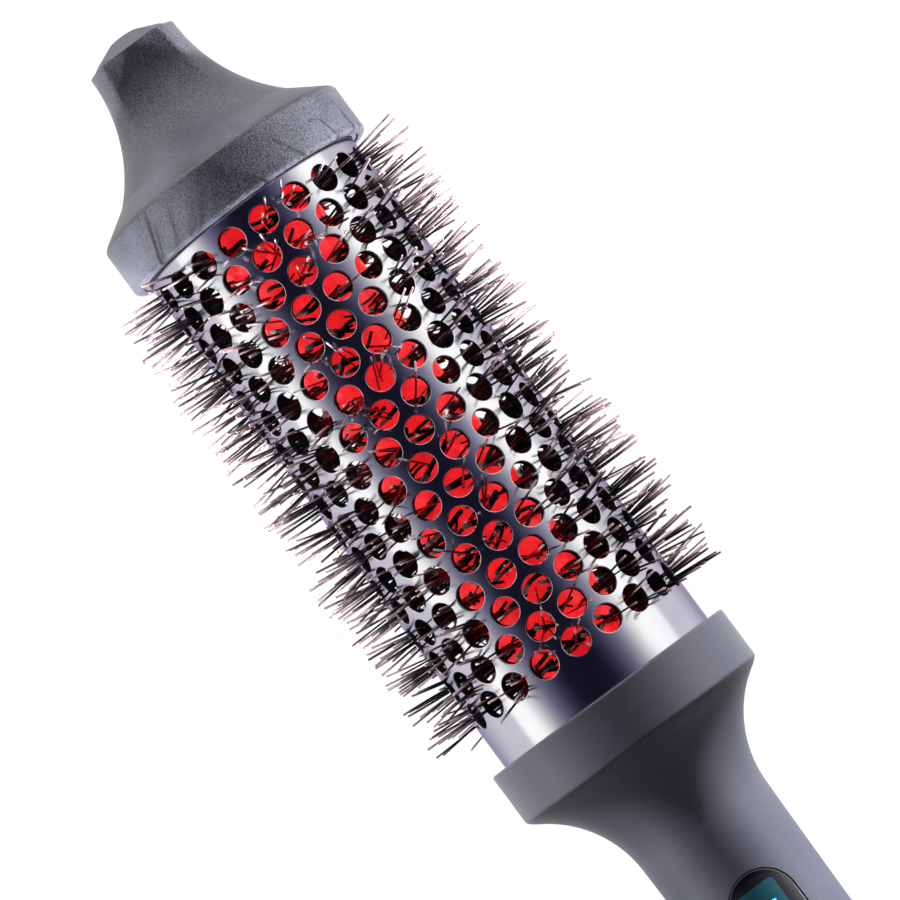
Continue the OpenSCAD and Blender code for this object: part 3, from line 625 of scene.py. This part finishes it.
def growStrands(name, style, seed):
    inputs = {key: style[key] for key in ("strands", "tipReach", "bow", "short", "holeRoom")}
    inputs.update({key: barrel[key] for key in ("rows", "perRow", "rowPitch", "firstHole", "turn")})
    inputs["material"] = finishes["nylon"]
    mesh = meshFromTree(strandTree(name, style, seed, inputs), inputs)
    for extra in ("root", "tip", "bow", "spot", "thick"):
        mesh.attributes.remove(mesh.attributes[extra])
    addPiece(name, mesh, "nylon", ["bristle_ring_%d" % k for k in range(1, barrel["rows"] + 1)], 50)
    return len(mesh.polygons)


tuftFaces = growStrands("bristle_tufts", tufts, 11)
print("bristles made:", tuftFaces + growStrands("bristle_roots", rootStrokes, 57), "faces")

tip = {
    "rear": 119.0, "bandRadius": 28.3, "bandRound": 1.5, "bandMiddle": 124.0, "bandFront": 130.1,
    "edgeRadius": 27.6, "chamferRadius": 21.2, "neckStart": 134.3, "neckEnd": 159.6, "neckRadius": 10.1,
    "neckCurve": 34.6,
    "scoopCurve": 23.0, "scoopLow": 7.3, "scoopBack": 4.1, "scoopSoft": 0.7, "scoopRise": 3.8,
    "endSlope": 0.46, "endReach": 163.2, "mouthRadius": 26.3, "mouthDepth": 122.3, "boreRadius": 25.2,
}
noScoop = 99.0   # mm, higher than anything of the tip


def trumpet(s):
    return tip["neckRadius"] + tip["neckCurve"] - math.sqrt(tip["neckCurve"] ** 2 - (tip["neckEnd"] - s) ** 2)


def scoopHeight(s):
    # Height of the finger flat over the axis; past the neck's end it runs out on the pointed end.
    away = tip["neckEnd"] - tip["scoopBack"] - min(s, tip["neckEnd"])
    if away > tip["scoopCurve"] - 0.5:
        return noScoop
    height = tip["scoopLow"] + tip["scoopCurve"] - math.sqrt(tip["scoopCurve"] ** 2 - away ** 2)
    return height * max(0.0, 1 - max(0.0, s - tip["neckEnd"]) / tip["scoopRise"])


def scooped(s, y, z):
    # Eases the neck down to the finger flat; the blend is wide at the foot and crisp at the rim.
    limit = scoopHeight(s)
    soft = 0.25 + tip["scoopSoft"] * min(1.0, max(0.0, (tip["neckEnd"] - s) / 12))
    size = abs(z)
    if size < limit - soft:
        return s, y, z
    blendShare = max(0.0, min(1.0, 0.5 + 0.5 * (limit - size) / soft))
    flat = limit + (size - limit) * blendShare - soft * blendShare * (1 - blendShare)
    return s, y, math.copysign(max(0.0, flat), z)


def tipMesh():
    t = tip
    bore = t["boreRadius"]
    inside = [(136.0, 0.0), (136.0, 12.0), (127.0, 20.0), (127.0, bore), (t["mouthDepth"], bore)]
    neckFoot = t["neckStart"] + 0.5
    outside = roundCorners([
        (t["mouthDepth"], t["mouthRadius"]), (t["rear"], t["mouthRadius"], 0.25),
        (t["rear"], t["bandRadius"], t["bandRound"]), (t["bandMiddle"], t["bandRadius"]),
        (t["bandFront"] - 0.7, t["bandRadius"], 1.2), (t["bandFront"], t["edgeRadius"], 1.2),
        (t["neckStart"], t["chamferRadius"], 0.3), (neckFoot, trumpet(neckFoot))])
    outside += [(s, trumpet(s)) for s in even(neckFoot, t["neckEnd"] - 0.12, 60)[1:]]
    for share in even(1.0, 0.0, 40)[1:]:
        r = (t["neckRadius"] - 0.08) * share ** 0.9
        slope = t["neckEnd"] + (t["neckRadius"] - r) * t["endSlope"]
        outside.append((min(slope, t["endReach"] - r * r / 24), r))
    return lathe(inside + finely(outside, 0.7), 192, "open", scooped)


addPiece("cool_tip", tipMesh(), "tip_plastic", ["tip_cap"], 28)

lip = {"inner": 25.06, "outer": 26.22, "rear": 119.25, "front": 122.2}
core = {"inner": 10.0, "outer": 12.0, "rear": -6.0, "front": 125.0}
lipOutline = [(lip["front"], lip["inner"]), (lip["rear"], lip["inner"], 0.3), (lip["rear"], lip["outer"], 0.3),
              (lip["front"], lip["outer"])]
addPiece("mouth_lip", lathe(finely(roundCorners(lipOutline), 1.0), 192), "lip_plastic", ["lip_ring"], 40)
coreOutline = [(core["rear"], core["inner"]), (core["rear"], core["outer"], 0.3),
               (core["front"], core["outer"], 0.3), (core["front"], core["inner"])]
addPiece("heated_core", lathe(finely(roundCorners(coreOutline), 3.0)), "red_core", ["heater_core"], 40)
print("tip, lip and core made")

grip = {
    "collarRadius": 28.2, "blend": 2.0, "neckAt": 33.0, "flare": 23.7, "neckRadius": 15.1, "waistRadius": 14.6,
    "waistAt": 80.0, "wall": 2.4, "flareBore": 23.0, "front": 11.42, "rear": 146.0, "jointGap": 0.035,
    "jointEase": 0.12,
}
collar = {"rear": 11.4, "mouth": 25.2, "rearMouth": 24.0, "frontRound": 0.55}


def gripRadius(d):
    # Radius of the handle at d mm behind the collar's face, with the collar's rear edge blended in.
    g = grip
    if d < g["neckAt"]:
        room = g["flare"] ** 2 - (g["neckAt"] - d) ** 2
        r = g["neckRadius"] + g["flare"] - math.sqrt(room) if room > 0 else 60.0
    else:
        swell = (g["neckRadius"] - g["waistRadius"]) / (g["waistAt"] - g["neckAt"]) ** 2
        r = g["waistRadius"] + swell * (d - g["waistAt"]) ** 2
    near = max(g["blend"] - abs(r - g["collarRadius"]), 0.0)
    return min(r, g["collarRadius"]) - near ** 2 / (4 * g["blend"])


def collarMesh():
    c, r = collar, grip["collarRadius"]
    front = [(-3.0, c["mouth"]), (0.0, c["mouth"], 0.3), (0.0, r, c["frontRound"]), (-8.0, r)]
    outline = roundCorners(front, 8)
    outline += [(-d / 10, gripRadius(d / 10)) for d in range(82, 115, 2)] + [(-c["rear"], c["rearMouth"])]
    return lathe(finely(outline, 1.0), 192)


addPiece("collar_band", collarMesh(), "handle_plastic", ["collar"], 40)


def halfShellMesh(side):
    # One half of the handle's shell, its joint edges eased.
    g = grip
    gap, ease = g["jointGap"], g["jointEase"]
    sections = []
    for d in even(g["front"], g["neckAt"], 36) + even(g["neckAt"], g["rear"], 90)[1:]:
        r = gripRadius(d)
        inner = r - g["wall"] if d > g["neckAt"] else min(r - g["wall"], g["flareBore"])
        span = math.pi / 2 - (gap + ease) / r
        section = [(ease - r, gap)] + [(r * math.sin(a), r * math.cos(a)) for a in even(-span, span, 96)]
        section += [(r - ease, gap), (inner, gap)]
        section += [(inner * math.sin(a), inner * math.cos(a)) for a in even(span - 0.02, 0.02 - span, 32)]
        section.append((-inner, gap))
        sections.append([placed(-d, y, side * z) for y, z in section])
    return skinMesh([sections])


def cut(mesh, outline, places, low, high):
    # Takes upright prisms of one outline out of a mesh, one at each place along the brush.
    block = newObject("block", mesh)
    used = [block]
    for s in places:
        prism = [[placed(s + x, y, z) for x, y in outline] for z in (low, high)]
        used.append(newObject("cutter", skinMesh([prism])))
        modifier = block.modifiers.new("cut", "BOOLEAN")
        modifier.operation, modifier.solver, modifier.object = "DIFFERENCE", "EXACT", used[-1]
    made = evaluatedMesh(block)
    for item in used:
        bpy.data.objects.remove(item)
    return made


def stadium(half, width, count=24):
    # Outline of a slot with round ends, as (along, across) pairs about its middle.
    r = width / 2
    points = []
    for side in (1, -1):
        for a in even(-math.pi / 2, math.pi / 2, count):
            points.append((side * (half - r + r * math.cos(a)), side * r * math.sin(a)))
    return points


def disc(radius, count=48):
    return [onCircle(radius, a) for a in even(0.0, fullTurn, count)[:-1]]


panel = {
    "front": 44.3, "length": 59.0, "width": 14.7, "surface": 14.5, "slack": 0.08, "bevel": 0.32,
    "buttonRadius": 3.5, "buttonGap": 0.25, "buttonTop": 15.2, "buttonEase": 0.4, "buttons": (73.4, 83.9, 94.4),
    "windowFront": 47.6, "windowLength": 18.3, "windowWidth": 8.6, "windowCorner": 1.1,
}
panelMiddle = -(panel["front"] + panel["length"] / 2)
windowMiddle = -(panel["windowFront"] + panel["windowLength"] / 2)
screws = {"places": (39.4, 106.9, 138.05), "headRadius": 2.2, "holeRadius": 2.45, "headTop": 11.8,
          "headThick": 1.6}

upperShell = cut(halfShellMesh(1), stadium(panel["length"] / 2 + 0.05, panel["width"] + 0.1), [panelMiddle],
                 10.4, 20.0)
addPiece("upper_shell_skin", upperShell, "handle_plastic", ["upper_shell"], 30)
lowerShell = cut(halfShellMesh(-1), disc(screws["holeRadius"]), [-d for d in screws["places"]],
                 -20.0, -screws["headTop"] + 0.1)
addPiece("lower_shell_skin", lowerShell, "handle_plastic", ["lower_shell"], 30)
print("shells made")


def hexagon(radius, a):
    return radius * math.cos(math.pi / 6) / math.cos((a % (math.pi / 3)) - math.pi / 6)


def screwHeads():
    # Pan heads with a hexagonal socket, seen from below, on plain shanks.
    top, r = -screws["headTop"], screws["headRadius"]
    deep = top - screws["headThick"]
    rings = [(7.0, 1.25), (top, 1.25), (top, r), (deep + 0.4, r), (deep + 0.12, r - 0.12), (deep, r - 0.4)]
    socket = [(deep, 1.3), (deep + 0.15, 1.2), (deep + 1.0, 1.15)]
    turns = even(0.0, fullTurn, 48)[:-1]
    outlines = [(z, [onCircle(size, a) for a in turns]) for z, size in rings]
    outlines += [(z, [onCircle(hexagon(size, a), a) for a in turns]) for z, size in socket]
    return skinMesh([[[placed(x - d, y, z) for x, y in outline] for z, outline in outlines]
                     for d in screws["places"]])


addPiece("socket_screws", screwHeads(), "steel", ["handle_screws"], 35)


def onPanel(x, y, lift):
    # A point on the panel's round surface.
    r = panel["surface"] + lift
    return placed(x, y, math.sqrt(max(r * r - y * y, 0.0)))


def easedEdge(size, degrees):
    # Pairs of inset and lift round a rounded edge.
    return [(size * (1 - math.cos(a)), -size * (1 - math.sin(a))) for a in map(math.radians, degrees)]


def plateSection(inset, lift):
    # The plate's outline, drawn in by the inset. Its straight sides get points of their own, to bend evenly.
    inset += panel["slack"]
    outline = stadium(panel["length"] / 2 - inset, panel["width"] - 2 * inset, 32)
    fine = []
    for a, b in zip(outline, outline[1:] + outline[:1]):
        parts = 24 if abs(a[0] - b[0]) > 20 else 1
        fine += [between(a, b, k / parts) for k in range(parts)]
    return [onPanel(panelMiddle + x, y, lift) for x, y in fine]


def plateMesh():
    # The glossy plate, from its flat underside and side wall over the bevel to its middle line.
    bevel, reach = panel["bevel"], panel["width"] / 2 - panel["slack"]
    rings = [(0.0, -1.2), (0.0, -bevel)] + easedEdge(bevel, (18, 36, 54, 72, 90))
    rings += [(inset, 0.0) for inset in even(bevel, reach - 0.02, 14)[1:]]
    sections = [plateSection(inset, lift) for inset, lift in rings]
    sections.insert(0, [p - Vector((0, 0, 0.2 * mm)) for p in sections[0]])
    return skinMesh([sections])


plate = cut(plateMesh(), disc(panel["buttonRadius"] + panel["buttonGap"], 64), [-d for d in panel["buttons"]],
            5.0, 20.0)
addPiece("glossy_plate", plate, "panel_gloss", ["control_panel"], 25)

# A light satin ring over the plate's bevel: painted highlight where the bevel catches the light.
rimPaintedHighlight = moulded("rimPaintedHighlight", (0.22, 0.22, 0.24), (0.27, 0.27, 0.29), (0.25, 0.35), 0.6, depth=0.03)
# Pairs of inset and lift.
rimRings = ((0.03, -0.5), (0.03, -0.2), (0.14, -0.03), (0.24, 0.02), (0.36, 0.02), (0.40, -0.5))
rimMesh = skinMesh([[plateSection(inset, lift) for inset, lift in rimRings]], "joined")
addPiece("plate_rim", rimMesh, "panel_gloss", ["control_panel"], 40, finish=rimPaintedHighlight)


def slabMesh(slabs, thick, lift, shift=0.0):
    # Thin slabs on the panel's surface, each an outline with the number of strips that follow the roundness.
    maker = bmesh.new()
    for outline, strips in slabs:
        low = min(y for _, y in outline)
        high = max(y for _, y in outline)
        shape = bmesh.new()
        shape.faces.new([shape.verts.new((x, y, 0)) for x, y in outline])
        for y in even(low, high, strips)[1:-1]:
            bmesh.ops.bisect_plane(shape, geom=shape.verts[:] + shape.edges[:] + shape.faces[:],
                                   plane_co=(0, y, 0), plane_no=(0, 1, 0))
        made = bmesh.ops.extrude_face_region(shape, geom=shape.faces[:])
        tops = {v for v in made["geom"] if isinstance(v, bmesh.types.BMVert)}
        for v in shape.verts:
            v.co = onPanel(v.co.x + shift, v.co.y, lift if v in tops else lift - thick)
        mesh = meshFrom(shape)
        maker.from_mesh(mesh)
        bpy.data.meshes.remove(mesh)
    return meshFrom(maker)


def box(x0, x1, y0, y1):
    return [(x0, y0), (x1, y0), (x1, y1), (x0, y1)]


def roundedBox(length, width, corner, count=8):
    points = []
    for turn, (sx, sy) in enumerate(((1, 1), (-1, 1), (-1, -1), (1, -1))):
        for k in range(count + 1):
            x, y = onCircle(corner, math.pi / 2 * (turn + k / count))
            points.append((sx * (length / 2 - corner) + x, sy * (width / 2 - corner) + y))
    return points


windowOutline = roundedBox(panel["windowLength"], panel["windowWidth"], panel["windowCorner"])
windowMesh = slabMesh([(windowOutline, 24)], 0.3, 0.012, windowMiddle)
addPiece("display_pane", windowMesh, "window_glass", ["display_window"], 25)

readout = {
    "top": -51.6, "digitWidth": 1.25, "digitHeight": 2.6, "gap": 0.42, "stroke": 0.3, "value": "180",
    "bars": 5, "barTop": -57.2, "barPitch": 1.25, "barThick": 0.6, "barLit": 3,
    "segments": {"0": "abcdef", "1": "bc", "8": "abcdefg"},
}


def digitStrokes(letter, left):
    # Seven-segment strokes of one digit; up is toward the tip and left is toward +Y.
    top, high, t = readout["top"], readout["digitHeight"], readout["stroke"]
    right, middle, bottom = left - readout["digitWidth"], top - high / 2, top - high
    upper, lower = (middle + 0.05, top - 0.1), (bottom + 0.1, middle - 0.05)
    wide = (right + t * 0.3, left - t * 0.3)
    boxes = {"a": (top - t, top, *wide), "b": (*upper, right, right + t), "c": (*lower, right, right + t),
             "d": (bottom, bottom + t, *wide), "e": (*lower, left - t, left), "f": (*upper, left - t, left),
             "g": (middle - t / 2, middle + t / 2, right + t, left - t)}
    return [(box(*boxes[k]), 2) for k in readout["segments"][letter]]


def readoutMesh():
    # A plain number with a column of level bars below it.
    r = readout
    left = (3 * r["digitWidth"] + 2 * r["gap"]) / 2
    slabs = []
    for k, letter in enumerate(r["value"]):
        slabs += digitStrokes(letter, left - k * (r["digitWidth"] + r["gap"]))
    for k in range(r["barLit"]):
        x, wide = r["barTop"] - (r["bars"] - 1 - k) * r["barPitch"], 0.8 + 0.28 * k
        slabs.append((box(x - r["barThick"], x, -wide, wide), 6))
    return slabMesh(slabs, 0.02, 0.03)


litMark = moulded("litMark", (0.02, 0.62, 0.78), (0.03, 0.68, 0.84), (0.3, 0.4), depth=0.02,
                  Emission_Color=(0.03, 0.62, 0.80, 1), Emission_Strength=0.55)
addPiece("display_readout", readoutMesh(), "display_glow", ["display_window"], 25, finish=litMark)


def buttonMesh(d):
    # A crowned cap with an eased edge; its top follows a cylinder about the brush's axis.
    size, top, ease = panel["buttonRadius"], panel["buttonTop"], panel["buttonEase"]
    rings = [(size - 0.05, -1.3), (size, -0.45)]
    rings += [(size - inset, drop) for inset, drop in easedEdge(ease, (0, 22, 45, 67, 90))]
    rings += [(r, 0.0) for r in even(size - ease, 0.05, 8)[1:]]
    sections = []
    for r, drop in rings:
        dish = 0.10 * max(0.0, 1 - (r / 2.9) ** 2)
        sections.append([placed(x - d, y, math.sqrt(top ** 2 - y * y) + drop - dish) for x, y in disc(r, 64)])
    return skinMesh([sections])


def signMesh(d, kind):
    # A printed sign on a button: plus, minus, or the ring with a bar.
    half, reach = 0.17, 0.95
    bar = box(-half, half, -reach, reach)
    slabs = {"plus": [(bar, 4), (box(half, reach, -half, half), 4), (box(-reach, -half, -half, half), 4)],
             "minus": [(bar, 4)], "power": [(box(0.05, 1.25, -0.15, 0.15), 4)]}[kind]
    if kind == "power":
        turns = even(math.radians(38), math.radians(322), 40)
        slabs += [([onCircle(0.8, a), onCircle(1.1, a), onCircle(1.1, b), onCircle(0.8, b)], 1)
                  for a, b in zip(turns, turns[1:])]
    return slabMesh(slabs, 0.05, panel["buttonTop"] - panel["surface"] - 0.075, -d)


paleInk = moulded("paleInk", (0.55, 0.55, 0.57), (0.68, 0.68, 0.70), (0.4, 0.5), depth=0.04)
for d, kind in zip(panel["buttons"], ("plus", "minus", "power")):
    node, body = kind + "_button", kind + "_key"
    addPiece(kind + "_cap", buttonMesh(d), "button_plastic", [node], 40, body)
    addPiece(kind + "_sign", signMesh(d, kind), "button_plastic", [node], 30, body, paleInk)
print("panel and buttons made")

tail = {"front": 146.04, "rear": 157.0, "round": 6.0, "bore": 6.6, "noseRadius": 8.3, "noseFront": 157.25,
        "noseRound": 2.4, "groove": 0.2, "end": 162.95, "shaft": 6.5, "shaftFront": 148.0, "cordHole": 3.3}


def makeTail():
    t, bore, nose = tail, tail["bore"], tail["noseRadius"]
    front, rear, end, low = -t["front"], -t["rear"], -t["end"], nose - t["groove"]
    cap = roundCorners([(front - 3, bore), (front, 12.0), (front, gripRadius(grip["rear"]), 0.12),
                        (rear, gripRadius(t["rear"]), t["round"]), (rear, bore, 0.35), (front - 6, bore)], 14)
    ring = roundCorners([(-t["noseFront"], bore), (-t["noseFront"], nose, 0.3), (end + 3.6, nose, 0.2),
                         (end + 3.4, low, 0.1), (end + 3.1, low, 0.1), (end + 2.9, nose, 0.2),
                         (end, nose, t["noseRound"]), (end, bore)], 10)
    shaft = roundCorners([(-t["shaftFront"], t["cordHole"]), (-t["shaftFront"], t["shaft"]),
                          (end, t["shaft"], 0.2), (end, t["cordHole"], 0.6)], 8)
    addPiece("tail_cover", lathe(finely(cap, 1.0)), "handle_plastic", ["tail_cap"], 35)
    addPiece("nose_ring", lathe(finely(ring, 1.0)), "gland_plastic", ["gland_nose"], 35, "cord_swivel")
    addPiece("gland_shaft", lathe(finely(shaft, 1.5), 96), "gland_plastic", ["swivel_gland"], 35, "cord_swivel")


makeTail()
print("tail made")

studio = {
    # angle from straight up as a share of 180 degrees, and the light's colour there
    "bands": ((0.0, (0.010, 0.008, 0.022)), (0.10, (0.012, 0.010, 0.025)), (0.15, (0.045, 0.043, 0.083)),
              (0.20, (0.145, 0.142, 0.22)), (0.235, (0.25, 0.245, 0.34)), (0.28, (0.57, 0.57, 0.62)),
              (0.325, (1.15, 1.18, 1.08)), (0.37, (1.72, 1.78, 1.58)), (0.42, (1.85, 1.9, 1.68)),
              (0.5, (1.7, 1.75, 1.6))),
    "axisTilt": 5.0,   # degrees that the dark overhead part leans toward +Y
    # from where to where along the brush the light fades, and the least share that stays
    "rearDim": (-0.75, 0.05, 0.05),
    "floorDim": (-0.05, -0.012, 0.12),
    "floorHalf": 6.0, "floorCells": 12, "floorWhite": 1.04, "floorWhiteShare": 0.88,
}


def fade(along, limits):
    low, high, least = limits
    return put(along.tree, "ShaderNodeMapRange",
               {"Value": along, "From Min": low, "From Max": high, "To Min": least})


def whiteTo(shader):
    # Mixes in plain white for rays that show the background: camera, mirror and glass rays.
    # The floor behind the collar stays dim in mirrors, as the air over it does.
    tree = shader.tree
    path = outputs(addNode(tree, "ShaderNodeLightPath"))
    along, _, _ = split(objectPlace(tree))
    mirrored = path["Is Glossy Ray"]
    rays = path["Is Camera Ray"].calc("MAXIMUM", mirrored.calc("MAXIMUM", path["Is Transmission Ray"]))
    dark = mirrored * (1.0 - fade(along, studio["floorDim"]))
    level = (1.0 - dark) * studio["floorWhite"]
    white = put(tree, "ShaderNodeEmission", {"Color": (1, 1, 1, 1), "Strength": level})
    return put(tree, "ShaderNodeMixShader", {0: rays * studio["floorWhiteShare"], 1: shader, 2: white})


def makeFloor():
    maker = bmesh.new()
    cells = studio["floorCells"]
    bmesh.ops.create_grid(maker, x_segments=cells, y_segments=cells, size=studio["floorHalf"])
    floor = newObject("floor", meshFrom(maker))
    material, tree, shader = newMaterial("paleFloor")
    tint = ramp(noise(objectPlace(tree), 3.0), (0.0, (0.80, 0.80, 0.80)), (1.0, (0.84, 0.84, 0.84)))
    fill(shader, {"Base Color": tint, "Roughness": 0.9, "Specular IOR Level": 0.0})
    out = next(n for n in tree.nodes if n.type == "OUTPUT_MATERIAL")
    fill(out, {"Surface": whiteTo(Field(shader.outputs[0]))})
    floor.data.materials.append(material)


def makeWorld():
    world = bpy.data.worlds.new("studio")
    bpy.context.scene.world = world
    world.use_nodes = True
    tree = world.node_tree
    tree.nodes.clear()
    along, across, up = split(put(tree, "ShaderNodeTexCoord", output="Generated"))
    lean = math.radians(studio["axisTilt"])
    angle = (across * math.sin(lean) + up * math.cos(lean)).calc("ARCCOSINE") / math.pi
    light = put(tree, "ShaderNodeBackground",
                {"Color": ramp(angle, *studio["bands"]), "Strength": fade(along, studio["rearDim"])})
    white = put(tree, "ShaderNodeBackground", {"Color": (1, 1, 1, 1), "Strength": 1.0})
    path = outputs(addNode(tree, "ShaderNodeLightPath"))
    rays = path["Is Camera Ray"].calc("MAXIMUM", path["Is Transmission Ray"])
    addNode(tree, "ShaderNodeOutputWorld",
            {"Surface": put(tree, "ShaderNodeMixShader", {0: rays, 1: light, 2: white})})


lamps = {
    # name: place in metres, size, power in watts
    "overheadSoft": ((0.35, 0.10, 1.1), (1.1, 1.0), 1.8),
    "leftBox": ((0.02, 0.95, 0.15), (1.3, 0.3), 6.0),
    "rightBox": ((0.02, -0.95, 0.15), (1.3, 0.3), 6.0),
    "tipBox": ((1.05, 0.0, 0.06), (0.5, 0.10), 19.0),
}
spots = {
    # name: place of the left one and where both aim along the brush, in metres, full cone in degrees,
    # soft share of the cone, powers of the left and the right one in watts
    "tip": ((-0.35, 0.40, 0.09), 0.128, 6.0, 0.8, (370.0, 410.0)),
    "grip": ((0.27, 0.50, 0.09), -0.065, 16.0, 0.4, (32.0, 34.0)),
    "neck": ((0.27, 0.50, 0.09), -0.088, 11.0, 0.4, (18.0, 115.0)),
}


def placeLamp(name, lamp, place, aim):
    lamp.color = (0.93, 0.94, 1.0)
    holder = newObject(name, lamp)
    holder.location = place
    holder.rotation_euler = (Vector(aim) - Vector(place)).to_track_quat("-Z", "Y").to_euler()
    holder.visible_camera = False
    holder.visible_glossy = False


def makeLamps():
    for name, (place, size, power) in lamps.items():
        lamp = bpy.data.lights.new(name, "AREA")
        lamp.shape, lamp.size, lamp.size_y, lamp.energy = "RECTANGLE", size[0], size[1], power
        placeLamp(name, lamp, place, (0.04, 0, axisHeight))
    for name, ((x, y, z), aim, cone, soft, powers) in spots.items():
        for side, sign, power in (("Left", 1, powers[0]), ("Right", -1, powers[1])):
            lamp = bpy.data.lights.new(name + side, "SPOT")
            lamp.spot_size, lamp.spot_blend, lamp.energy = math.radians(cone), soft, power
            lamp.shadow_soft_size = 0.03
            placeLamp(name + side, lamp, (x, sign * y, z), (aim, 0.0, 0.036))


view = {"eye": (-6.0, 28.1, 1095.2), "aim": (57.274, -3.703, 35.5), "up": (0.80457, -0.59081, 0.06007),
        "roll": 0.1736, "lens": 213.42}   # mm, and degrees of roll


def makeCamera():
    camera = bpy.data.cameras.new("camera")
    camera.sensor_width, camera.lens = 36, view["lens"]
    camera.clip_start, camera.clip_end = 0.05, 50
    holder = newObject("camera", camera)
    eye, aim, upHint = (Vector(view[k]) for k in ("eye", "aim", "up"))
    back = (eye - aim).normalized()
    right = upHint.cross(back).normalized()
    up = (back.cross(right) + right * math.tan(math.radians(view["roll"]))).normalized()
    turned = Matrix((up.cross(back), up, back)).transposed().to_4x4()
    holder.matrix_world = Matrix.Translation(eye * mm) @ turned
    bpy.context.scene.camera = holder


makeFloor()
makeWorld()
makeLamps()
makeCamera()
bpy.context.scene.view_settings.view_transform = "Standard"
print("stage made")
